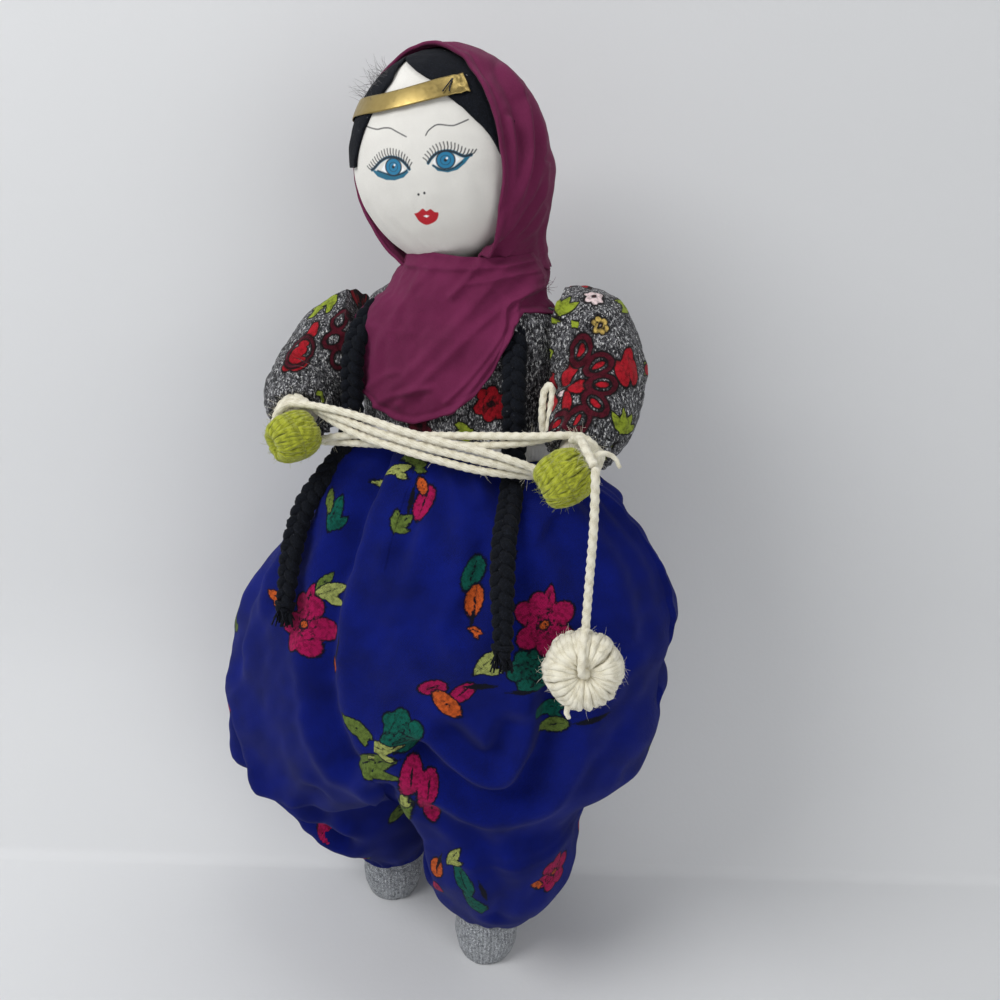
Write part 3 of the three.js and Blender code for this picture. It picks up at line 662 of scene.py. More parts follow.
    def done(self, colour: Any, normal: Any, roughness: Any = None) -> bpy.types.Material:
        """Link the last sockets and give the material."""
        self.feed(self.surface.inputs["Base Color"], colour)
        self.feed(self.surface.inputs["Normal"], normal)
        self.feed(self.surface.inputs["Roughness"], roughness)
        return self.material


@dataclass(frozen=True)
class PaperFinish:
    """Matt paper of the studio's floor and wall."""

    colour: Colour = hue(222, 223, 224)

    def build(self) -> bpy.types.Material:
        """Build the material."""
        s = Shader("studio_paper", 0.85)
        tint = s.blend(s.noise(300, 2), self.colour, tuple(c * 0.93 for c in self.colour))
        s.see_through_behind()
        return s.done(tint, s.bump(s.noise(2.0, 4), 0.05))


@dataclass(frozen=True)
class ClothFinish:
    """Woven or knitted cloth, plain or printed.

    Args:
        name: The material's name.
        colour: Its colour.
        shade: The colour of its darker threads, and the tone of the painted shade in the hollows of its
            weave.
        pitch: The distance between threads in mm.
        depth: How high the threads stand in mm.
        sheen: How much its fuzz catches the light.
        roughness: How matt it is.
        inks: The colours printed on it.
        fuzz: How much its fibres mix the two colours.
        ragged: How ragged the print's edges are.
        rim: The dark colour round printed shapes.
    """

    name: str
    colour: Colour
    shade: Colour
    pitch: float = 0.6
    depth: float = 0.08
    sheen: float = 0.2
    roughness: float = 0.9
    inks: tuple[Colour, ...] = ()
    fuzz: float = 0.5
    ragged: float = 0.1
    rim: Colour | None = None

    def build(self) -> bpy.types.Material:
        """Build the material."""
        s = Shader(self.name, self.roughness, self.sheen)
        weave = s.weave(self.pitch)
        fibres = s.noise(0.35, 4, 0.7)
        mottle = s.maths("ADD", fibres, s.maths("MULTIPLY", s.noise(14, 3), 0.6))
        share = s.maths("MULTIPLY", s.span(mottle, 0.55, 1.05), self.fuzz)
        colour = s.blend(share, self.colour, self.shade)
        colour = s.printed(colour, self.inks, self.ragged, self.rim)
        # Painted shade: the low points of the weave are darkened towards a deep tone of the shade
        # colour.
        hollow = s.maths("MULTIPLY", s.span(weave, 0.3, -1.0), 0.3)
        colour = s.blend(hollow, colour, tuple(0.4 * c for c in self.shade))
        normal = s.bump(weave, self.depth, 0.8)
        normal = s.bump(fibres, self.depth * 1.6, 0.7, normal)
        return s.done(colour, s.bump(s.noise(5, 3), 0.3, 0.4, normal))


@dataclass(frozen=True)
class FlannelFinish:
    """Grey flannel with black and white flecks and a printed pattern."""

    inks: tuple[Colour, ...]

    def build(self) -> bpy.types.Material:
        """Build the material."""
        s = Shader("jacket_flannel", 0.95, 0.08)
        long = s.node("ShaderNodeVectorMath", 0, s.place, (1.0, 1.0, 0.42), operation="MULTIPLY")
        fleck = s.noise(0.62, 4, 0.75, long)
        grey = s.blend(s.span(s.noise(2.2, 3, 0.65), 0.36, 0.66), hue(40, 40, 43), hue(92, 92, 96))
        grey = s.blend(s.span(fleck, 0.47, 0.4), grey, hue(12, 12, 14))
        grey = s.blend(s.span(fleck, 0.545, 0.62), grey, hue(206, 206, 206))
        colour = s.printed(grey, self.inks, 0.16, hue(14, 10, 12))
        normal = s.bump(s.weave(0.8), 0.1, 0.7)
        normal = s.bump(s.noise(0.4, 4, 0.7), 0.16, 0.7, normal)
        return s.done(colour, s.bump(s.noise(6, 3), 0.4, 0.5, normal))


@dataclass(frozen=True)
class WoolFinish:
    """Spun wool whose fibres run round its plies.

    Args:
        name: The material's name.
        colour: Its colour.
        shade: The colour of its darker fibres, and of the painted shade in the grooves of its twist.
        pitch: The length in mm in which a fibre turns round once.
        sheen: How much its fuzz catches the light.
    """

    name: str
    colour: Colour
    shade: Colour
    pitch: float = 2.2
    sheen: float = 0.3

    def build(self) -> bpy.types.Material:
        """Build the material."""
        s = Shader(self.name, 0.95, self.sheen)
        along, across, _ = s.parts(s.uv)
        slant = s.maths("ADD", along, s.maths("MULTIPLY", across, 0.7))
        slant = s.maths("ADD", slant, s.maths("MULTIPLY", s.noise(1.0, 2), 1.2))
        twist = s.maths("SINE", s.maths("MULTIPLY", slant, 2 * math.pi / self.pitch))
        fibres = s.noise(0.28, 4, 0.75)
        # The fibres' tone varies at random, and painted shade darkens the low grooves of the twist.
        share = s.span(s.maths("ADD", s.maths("MULTIPLY", twist, 0.1), fibres), 0.6, 0.24)
        colour = s.blend(share, self.colour, self.shade)
        normal = s.bump(twist, 0.08, 0.6)
        return s.done(colour, s.bump(fibres, 0.22, 0.9, normal))


@dataclass(frozen=True)
class FeltFinish:
    """Blue-black hair of felt or yarn with a few pale lint flecks."""

    name: str
    lint: float

    def build(self) -> bpy.types.Material:
        """Build the material."""
        s = Shader(self.name, 0.92, 0.02)
        fibres = s.noise(0.45, 5, 0.75)
        dark = s.blend(s.span(fibres, 0.45, 0.75), hue(9, 12, 18), hue(34, 38, 50))
        flecks = s.maths("MULTIPLY", s.span(s.noise(0.6, 2), 0.72, 0.76),
                         s.span(s.noise(6, 2), 0.52, 0.6))
        colour = s.blend(s.maths("MULTIPLY", flecks, self.lint), dark, hue(190, 190, 195))
        normal = s.bump(fibres, 0.3, 0.9)
        return s.done(colour, s.bump(s.noise(2.5, 3), 0.3, 0.5, normal))


@dataclass(frozen=True)
class FoilFinish:
    """Thin gold-coloured foil, brushed along and a little creased."""

    def build(self) -> bpy.types.Material:
        """Build the material."""
        s = Shader("gold_foil", 0.3, metal=0.9)
        colour = s.blend(s.noise(3.0, 3), hue(168, 148, 92), hue(146, 126, 74))
        rough = s.span(s.noise(1.2, 4), 0.3, 0.7, (0.3, 0.44))
        normal = s.bump(s.noise(9.0, 2), 0.12, 0.4)
        return s.done(colour, s.bump(s.noise(0.4, 3), 0.015, 0.6, normal), rough)


@dataclass(frozen=True)
class KnitFinish:
    """Silver-grey knit with a glitter thread in it, whose glints are painted as white flecks.

    Args:
        stitch: The width of a stitch in mm.
    """

    stitch: float = 1.5

    def build(self) -> bpy.types.Material:
        """Build the material."""
        s = Shader("glitter_knit", 0.62, 0.15, metal=0.12)
        round_, height, _ = s.parts(s.uv)
        across = s.maths("MULTIPLY", s.maths("MULTIPLY", round_, 2 * math.pi / self.stitch), 0.5)
        lean = s.maths("MULTIPLY", s.maths("ABSOLUTE", s.maths("SINE", across)), 0.7)
        up = s.maths("MULTIPLY", s.maths("ADD", height, lean), 2 * math.pi / self.stitch * 1.4)
        loops = s.maths("MULTIPLY", s.maths("SINE", up), s.maths("ABSOLUTE", s.maths("COSINE", across)))
        grey = s.blend(s.span(s.noise(1.2, 4, 0.7), 0.35, 0.65), hue(112, 115, 120), hue(176, 180, 184))
        glitter = s.node("ShaderNodeSeparateColor", 0, s.cells(0.3))
        # Painted glints: random cells of the glitter thread are coloured near white, as if catching the
        # light; they are also less rough.
        painted_glint = s.span(glitter, 0.86, 0.92)
        colour = s.blend(painted_glint, grey, hue(238, 242, 246))
        rough = s.span(painted_glint, 0.0, 1.0, (0.8, 0.25))
        normal = s.bump(loops, 0.35, 0.9)
        return s.done(colour, s.bump(s.noise(0.3, 3, 0.7), 0.15, 0.8, normal), rough)


class Finishes:
    """Every material of the doll, built once."""

    def __init__(self) -> None:
        """Build them all."""
        self.face = ClothFinish("face_cotton", hue(232, 230, 224), hue(214, 211, 204), 0.42, 0.035,
                                0.05, 0.85, FACE_INKS, 0.5, 0.02).build()
        self.stuffing = ClothFinish("stuffing_cotton", hue(230, 224, 210), hue(200, 192, 176), 0.9,
                                    0.2).build()
        self.scarf = ClothFinish("scarf_cotton", hue(116, 37, 78), hue(82, 22, 52), 0.5, 0.05, 0.04,
                                 0.8, (), 0.6).build()
        self.shalwar = ClothFinish("shalwar_wool", hue(5, 23, 116), hue(2, 9, 62), 0.9, 0.09, 0.03,
                                   0.95, SHALWAR_INKS, 0.75, 0.36, hue(6, 8, 26)).build()
        self.jacket = FlannelFinish(JACKET_INKS).build()
        self.yarn = WoolFinish("cream_yarn", hue(238, 233, 214), hue(206, 198, 172), 5.0).build()
        self.hands = WoolFinish("lime_wool", hue(172, 178, 52), hue(112, 116, 26), 3.0).build()
        self.hair = FeltFinish("hair_felt", 1.0).build()
        self.braid = FeltFinish("braid_wool", 0.3).build()
        self.foil = FoilFinish().build()
        self.knit = KnitFinish().build()
        self.band = ClothFinish("band_elastic", hue(236, 234, 230), hue(196, 194, 192), 0.7,
                                0.12).build()
        self.thread = WoolFinish("black_thread", hue(24, 24, 28), hue(8, 8, 10), 0.8).build()
        self.lint = WoolFinish("grey_lint", hue(120, 118, 120), hue(70, 68, 70), 0.8).build()


# ---- Printed patterns


class Print:
    """Fields on a piece that say where each ink lies.

    Each field falls from 1 to 0 over the reach on both sides of a shape's edge, in mm.
    """

    reach = 2.0

    def __init__(self, piece: Piece, inks: int, view: PhotoView) -> None:
        """Start with a blank piece."""
        self.piece = piece
        self.view = view
        self.points, self.facing = mesh_points(piece)
        self.far = np.full((len(self.points), 3 * math.ceil(inks / 3)), 9.0)

    def seen(self, x: float, y: float) -> int:
        """Find the point that a place in the photograph shows."""
        return self.view.spot(self.points, self.facing, x, y)

    def near(self, spot: int, size: float) -> tuple[Points, Points]:
        """Give the points round a spot and their flat places on the cloth there."""
        middle, facing = self.points[spot], self.facing[spot]
        up = unit(np.array([0, 0, 1.0]) - facing * facing[2] + 1e-6)
        side = np.cross(up, facing)
        away = self.points - middle
        chosen = np.nonzero((np.linalg.norm(away, axis=1) < size + 3)
                            & (self.facing @ facing > 0.0))[0]
        return chosen, np.stack([away[chosen] @ side, away[chosen] @ up], axis=1)

    def lay(self, ink: int, chosen: Points, distance: Points) -> None:
        """Lay ink where the distance is below zero."""
        self.far[chosen, ink] = np.minimum(self.far[chosen, ink], distance)

    def petal(self, ink: int, spot: int, length: float, width: float, angle: float,
              pointed: bool = False, hollow: float = 0.0, place: tuple = (0, 0)) -> None:
        """Print a petal or a leaf.

        Args:
            ink: The number of the ink.
            spot: The point of the cloth that the pattern grows from.
            length: Half of its length.
            width: Half of its width.
            angle: Its direction in degrees from the right.
            pointed: Whether its ends are pointed.
            hollow: If above zero, only an outline of this width is printed.
            place: The petal's middle from the spot, in mm.
        """
        chosen, flat = self.near(spot, math.hypot(*place) + length)
        a = math.radians(angle)
        u = (flat[:, 0] - place[0]) * math.cos(a) + (flat[:, 1] - place[1]) * math.sin(a)
        v = (flat[:, 1] - place[1]) * math.cos(a) - (flat[:, 0] - place[0]) * math.sin(a)
        if pointed:
            distance = np.abs(v) - width * (1 - np.clip(np.abs(u) / length, 0, 2) ** 1.7)
        else:
            distance = (np.hypot(u / length, v / width) - 1) * min(length, width)
        if hollow:
            distance = np.abs(distance) - hollow
        self.lay(ink, chosen, distance)

    def rose(self, ink: int, edge: int, spot: int, size: float, turn: float,
             core: int | None = None) -> None:
        """Print a ruffled flower of an outer and an inner ring of petals.

        Args:
            ink: The number of the petals' ink.
            edge: The number of the ink that draws their edges.
            spot: The point of the cloth at its middle.
            size: Its radius in mm.
            turn: How far it is turned, in degrees.
            core: The number of the ink of its heart.
        """
        for ring, count, reach, half in ((0, 6, 0.58, 0.4), (1, 4, 0.25, 0.26)):
            for k in range(count):
                a = turn + 31 * ring + 360 / count * k + 9 * math.sin(k * 2.3)
                out = (reach * size * math.cos(math.radians(a)),
                       reach * size * math.sin(math.radians(a)))
                for colour, hollow in ((ink, 0.0), (edge, 0.13)):
                    self.petal(colour, spot, half * size, 0.82 * half * size, a, False, hollow, out)
        if core is not None:
            self.petal(core, spot, 0.16 * size, 0.11 * size, turn)

    def spray(self, ink: int, spot: int, count: int, length: float, angle: float,
              spread: float) -> None:
        """Print a few pointed leaves that fan out from one spot.

        Args:
            ink: The number of the ink.
            spot: The point of the cloth that they grow from.
            count: How many there are.
            length: Half of a leaf's length.
            angle: The middle one's direction in degrees from the right.
            spread: The degrees between two of them.
        """
        for k in range(count):
            a = angle + spread * (k - (count - 1) / 2)
            out = (0.8 * length * math.cos(math.radians(a)), 0.8 * length * math.sin(math.radians(a)))
            self.petal(ink, spot, length, 0.34 * length, a, True, place=out)

    def finish(self) -> None:
        """Store the fields on the piece."""
        for start in range(0, self.far.shape[1], 3):
            level = np.ones((len(self.points), 4), np.float32)
            level[:, :3] = np.clip(0.5 - self.far[:, start:start + 3] / (2 * self.reach), 0, 1)
            layer = self.piece.data.attributes.new(f"print_{start // 3}", "FLOAT_COLOR", "POINT")
            layer.data.foreach_set("color", level.ravel())


FACE_INKS = (hue(244, 246, 248), hue(22, 104, 134), hue(28, 122, 164), hue(186, 10, 34),
             hue(24, 28, 38), hue(248, 250, 252))
SHALWAR_INKS = (hue(10, 88, 74), hue(96, 116, 50), hue(158, 166, 92), hue(160, 16, 76),
                hue(196, 88, 34), hue(12, 14, 24))
JACKET_INKS = (hue(140, 156, 46), hue(206, 176, 96), hue(226, 206, 206), hue(164, 20, 34),
               hue(76, 12, 28), hue(14, 10, 12))


# ---- Head


@dataclass
class Head:
    """The stuffed ball of the head: an egg with a narrower chin, turned and leaned as it is sewn on."""

    centre: tuple = (-2.2, 1.0, 322.8)
    half: tuple = (32.0, 29.5, 34.4)
    chin: float = 0.04
    turn: float = 12.0
    lean: float = -9.5

    def place(self) -> Points:
        """Give the turn of the head as a matrix."""
        return turn_about(2, self.turn) @ turn_about(1, self.lean)

    def out(self, local: Points) -> Points:
        """Turn points of the face's own frame into the doll's frame."""
        return local @ self.place().T + np.array(self.centre)

    def back(self, points: Points) -> Points:
        """Turn points of the doll's frame into the face's own frame."""
        return (points - np.array(self.centre)) @ self.place()

    def radius(self, ways: Points, grow: Any = 0.0) -> Points:
        """Give the egg's radius in each direction of the face's own frame."""
        half = np.array(self.half)
        taper = np.ones(ways.shape[:-1])
        for _ in range(4):
            v = np.stack([ways[..., 0] / (half[0] * taper), ways[..., 1] / (half[1] * taper),
                          ways[..., 2] / half[2]], axis=-1)
            size = np.linalg.norm(v, axis=-1)
            taper = 1 - self.chin * np.maximum(0, -v[..., 2] / size) ** 1.6
        return 1 / size + grow

    def front(self, x: Points, z: Points, grow: Any = 0.0) -> Points:
        """Give the points of the front of the egg with the given x and z."""
        x, z = np.broadcast_arrays(np.asarray(x, float), np.asarray(z, float))
        depth = np.full(x.shape, 25.0)
        for _ in range(30):
            p = np.stack([x, -depth, z], axis=-1)
            size = np.linalg.norm(p, axis=-1)
            miss = self.radius(p / size[..., None], grow) - size
            depth = np.maximum(depth + 0.9 * miss, 0.0)
        return np.stack([x, -depth, z], axis=-1)

    def build(self, finishes: Finishes, view: PhotoView) -> None:
        """Build the head with its printed face."""
        across = np.concatenate([np.linspace(-180, -48, 34, endpoint=False),
                                 np.arange(-48, 48, 0.46), np.linspace(48, 180, 34, endpoint=False)])
        upward = np.concatenate([np.linspace(-88, -36, 16, endpoint=False),
                                 np.arange(-36, 30, 0.42), np.linspace(30, 88, 18)])
        a, u = np.meshgrid(np.radians(across), np.radians(upward))
        ways = np.stack([np.cos(u) * np.sin(a), -np.cos(u) * np.cos(a), np.sin(u)], axis=-1)
        taper = 1 - self.chin * np.maximum(0, -ways[..., 2]) ** 1.6
        half = np.array(self.half)
        local = ways * half * np.stack([taper, taper, np.ones_like(taper)], axis=-1)
        local = local + ways * 0.12 * ripple(local, 9, 3)[..., None]
        head = make("head_ball_cotton", closed_grid(self.out(local)), finishes.face)
        self.paint(Print(head, len(FACE_INKS), view))
        dress(head, "head", ("head_ball",))

    def paint(self, ink: Print) -> None:
        """Print the face: white, shadow, iris, lips, lines and lights."""
        local = self.back(ink.points)
        chosen = np.nonzero((local[:, 1] < -5) & (local[:, 2] < 18))[0]
        flat = local[chosen][:, [0, 2]]
        white, shadow, iris, red, line, light = range(6)
        for lid, low, band, eye, middle, sign in EYES:
            outline = np.vstack([smooth_line(lid, 4), np.array(low[::-1])])
            ink.lay(white, chosen, shape_distance(flat, eye))
            ink.lay(shadow, chosen, shape_distance(flat, band))
            x, y = flat[:, 0] - middle[0], flat[:, 1] - middle[1]
            away = np.hypot(x / 1.1, y)
            inside = shape_distance(flat, outline) - 0.15
            ink.lay(iris, chosen, np.maximum(away - 2.65, inside))
            ink.lay(line, chosen, np.maximum(np.abs(away - 2.6) - 0.2, inside))
            ink.lay(line, chosen, np.abs(away - 1.4) - 0.09)
            ink.lay(line, chosen, away - 0.5)
            ink.lay(light, chosen, np.hypot(x - 0.5, y - 0.5) - 0.34)
            for edge, soft, fine in ((lid, 0.5, 0.27), (low, 0.36, 0.17)):
                far = line_distance(flat, smooth_line(edge, 4))
                ink.lay(shadow, chosen, far - soft)
                ink.lay(line, chosen, far - fine)
            self.lashes(ink, chosen, flat, np.array(lid), sign)
        for brow in BROWS:
            ink.lay(line, chosen, line_distance(flat, smooth_line(brow, 4)) - 0.2)
        for hole in ((-4.25, -8.4), (-2.16, -8.2)):
            ink.lay(line, chosen, np.hypot(flat[:, 0] - hole[0], flat[:, 1] - hole[1]) - 0.42)
        ink.lay(red, chosen, shape_distance(flat, smooth_line(LIPS + LIPS[:1], 4)))
        ink.lay(light, chosen, shape_distance(flat, LIP_LIGHT))
        ink.finish()

    def lashes(self, ink: Print, chosen: Points, flat: Points, lid: Points, sign: int) -> None:
        """Print one eye's lashes, which fan out from the lid.

        Args:
            ink: The print of the face.
            chosen: The numbers of the face's points.
            flat: Their places across and up the face.
            lid: The line of the lid.
            sign: -1 for the eye on the left of the picture, 1 for the other.
        """
        roots = even_line(smooth_line(lid, 5), 0.9)
        count = len(roots)
        for k, root in enumerate(roots):
            t = k / (count - 1)
            angle = math.radians(142 - 84 * t if sign < 0 else 128 - 88 * t)
            length = 2.7 - 0.9 * abs(t - 0.45)
            tip = root + length * np.array([math.cos(angle), math.sin(angle)])
            middle = (root + tip) / 2 + 0.22 * np.array([math.sin(angle), -math.cos(angle)]) * sign
            ink.lay(4, chosen, line_distance(flat, np.array([root, middle, tip])) - 0.19)


EYES = (
    (((-19.67, 0.95), (-18.69, 1.24), (-15.82, 2.97), (-13.24, 3.81), (-10.9, 3.79), (-8.33, 2.78),
      (-6.69, 1.13), (-5.68, -0.52)),
     ((-17.31, 0.37), (-14.55, -0.78), (-11.51, -1.83), (-8.27, -1.47), (-6.57, -0.8)),
     ((-19.67, 0.95), (-17.75, -1.32), (-14.55, -2.7), (-11.37, -3.21), (-8.06, -2.73), (-6.02, -1.35),
      (-6.57, -0.8), (-8.27, -1.47), (-11.51, -1.83), (-14.55, -0.78), (-17.31, 0.37)),
     ((-15.75, 0.56), (-13.96, 2.42), (-11.04, 2.89), (-8.5, 1.69), (-7.34, -0.57), (-9.58, -1.32),
      (-12.74, -1.27)), (-11.15, 0.85), -1),
    (((0.71, 0.45), (1.98, 1.81), (4.11, 3.03), (6.82, 3.25), (9.04, 2.63), (10.77, 1.55), (12.18, 0.94),
      (14.01, 1.08)),
     ((2.15, -0.47), (4.16, -1.85), (6.55, -2.41), (9.18, -1.76), (11.26, -0.53)),
     ((1.75, -0.22), (3.29, -2.21), (6.28, -3.09), (9.39, -2.73), (11.88, -1.18), (14.21, 1.11),
      (12.13, 0.61), (10.49, -0.49), (8.47, -1.66), (6.07, -2.09), (4.16, -1.85)),
     ((1.97, 0.46), (3.98, 2.16), (6.73, 2.6), (8.92, 1.75), (10.63, 0.41), (8.9, -1.0), (6.13, -1.77),
      (3.89, -1.03)), (6.23, 0.63), 1),
)
BROWS = (
    ((-21.04, 14.7), (-18.17, 13.53), (-15.58, 12.76), (-13.1, 12.78), (-10.74, 12.38), (-8.64, 11.13),
     (-5.36, 9.08)),
    ((0.97, 8.6), (1.84, 9.71), (3.25, 10.61), (5.16, 11.22), (8.75, 10.43), (10.58, 10.44),
     (14.13, 11.48)),
)
LIPS = (
    (-7.32, -14.01), (-5.8, -13.79), (-3.96, -12.82), (-2.92, -13.73), (-1.39, -13.29), (-0.28, -14.35),
    (0.86, -14.81), (-0.12, -16.75), (-1.77, -17.66), (-4.22, -18.05), (-6.16, -16.75), (-6.84, -15.3),
)
LIP_LIGHT = ((-4.4, -15.15), (-3.33, -14.95), (-2.3, -15.35), (-3.37, -15.75))


@dataclass
class HairAndBand:
    """Two pieces of felt hair that part in a peak, and the foil headband over them."""

    head: Head
    view: PhotoView
    felt: float = 0.9
    lift: float = 0.35
    foil: float = 0.35
    right_edge: tuple = ((-7.1, 32.2), (-8.7, 29.8), (-10.1, 26.3), (-12.5, 23.6), (-15.1, 20.6),
                         (-17.5, 17.3), (-20.3, 13.9), (-22.4, 10.4), (-25, 6.2), (-26.5, 2.4))
    left_edge: tuple = ((-6.6, 32.2), (-5.7, 31.0), (-0.3, 26.7), (3.8, 23.7), (7.8, 19.5), (10.7, 16.8),
                        (12.7, 15), (15.4, 11.7), (18, 8.5), (20.5, 4.3), (22, 0))
    band_low: tuple = ((-102, 15.5), (-62, 17.2), (-32, 17.0), (-12.6, 17.2), (13, 18.1), (34, 18.6))
    band_high: tuple = ((-102, 20.3), (-62, 22.0), (-32, 22.0), (-12, 22.4), (12, 23.4), (31, 23.9))

    def build(self, finishes: Finishes) -> None:
        """Build the hair, the headband and its stitch."""
        for name, edge, sign in (("hair_right", self.right_edge, 1), ("hair_left", self.left_edge, -1)):
            hair = self.patch(name, edge, sign, finishes)
            if sign > 0:
                self.fluff(hair, self.view, finishes)
        self.band(finishes)
        self.stitch(finishes)

    def fluff(self, hair: Piece, view: PhotoView, finishes: Finishes) -> None:
        """Let stray lint stand off the hair at the temple."""
        points, facing = mesh_points(hair)
        seen = view.project(points)
        rim = (seen[:, 0] < 388) & (seen[:, 1] < 104) & (facing @ np.array([-0.93, 0.3, 0.25]) > 0.3)
        lint = make("hair_lint", fuzz(points[rim], facing[rim], 70, 5.5, 25, 0.07), finishes.lint)
        dress(lint, "head")

    def patch(self, name: str, edge: tuple, sign: int, finishes: Finishes) -> Piece:
        """Lay one piece of felt from its edge on the forehead back over the head.

        Args:
            name: The node that it replaces.
            edge: The edge, across and up the face.
            sign: 1 for the right piece, -1 for the left one.
            finishes: The materials.

        Returns:
            The piece of hair.
        """
        line = even_line(smooth_line(edge, 6), 0.6)
        start = self.head.front(line[:, 0], line[:, 1])
        start = start + 0.35 * unit(start) * ripple(start, 3, 11)[:, None]
        around = np.arctan2(start[:, 2], start[:, 0])
        opening = np.arccos(np.clip(-start[:, 1] / np.linalg.norm(start, axis=1), -1, 1))
        rows = []
        for t in np.linspace(0, 1, 56):
            angle = opening + (math.radians(107) - opening) * t
            way = np.stack([np.sin(angle) * np.cos(around), -np.cos(angle),
                            np.sin(angle) * np.sin(around)], axis=-1)
            rise = self.lift + self.felt + 0.12 * ripple(way * 33, 5, 5)
            rise = rise - 0.25 * np.exp(-t * 25)
            rows.append(way * self.head.radius(way, rise)[:, None])
        rows = self.head.out(np.array(rows))
        faces = grid_faces(rows.shape[0], rows.shape[1], False)
        if sign > 0:
            faces = [tuple(reversed(f)) for f in faces]
        hair = make(f"{name}_felt", Shell(rows.reshape(-1, 3), faces), finishes.hair)
        thicken(hair, self.felt)
        dress(hair, "head", (name,))
        return hair

    def band(self, finishes: Finishes) -> None:
        """Bend the strip of foil round the forehead."""
        turns = np.linspace(-102, 33, 190)
        low = np.interp(turns, *zip(*self.band_low))
        high = np.interp(turns, *zip(*self.band_high))
        rows = []
        bare = ease((turns + 60) / 40) * ease((30 - turns) / 36)
        crush = ease((turns - 20) / 10)
        for t in np.linspace(0, 1, 15):
            z = low + (high - low) * t + crush * 0.15 * np.sin(turns * 0.9 + 5 * t)
            width = np.sqrt(np.maximum(1 - (z / self.head.half[2]) ** 2, 0))
            a = np.radians(turns)
            base = oval(0, 0, self.head.half[0] * width, self.head.half[1] * width, a - np.pi / 2, z)
            rise = 2.0 - 0.5 * bare + 0.03 * ripple(base, 9, 21)
            rise = rise + crush * 0.16 * ripple(base, 2.6, 22)
            rows.append(base + unit(base) * rise[:, None])
        rows = self.head.out(np.array(rows))
        shell = Shell(rows.reshape(-1, 3), grid_faces(*rows.shape[:2], False))
        band = make("headband_foil", shell, finishes.foil)
        thicken(band, self.foil)
        dress(band, "head", ("headband",))

    def stitch(self, finishes: Finishes) -> None:
        """Sew the end of the headband down with a V of black thread."""
        rows = []
        for line in (((7.6, 20.6), (8.6, 21.8), (10.4, 24.0)), ((9.6, 20.4), (9.9, 22.2), (10.6, 24.0))):
            flat = smooth_line(line, 5)
            rows.append(sweep(self.head.out(self.head.front(flat[:, 0], flat[:, 1], 2.5)), 0.22, 8))
        thread = make("headband_stitch_thread", joined(rows), finishes.thread)
        dress(thread, "head", ("headband_stitch",))


# ---- Scarf


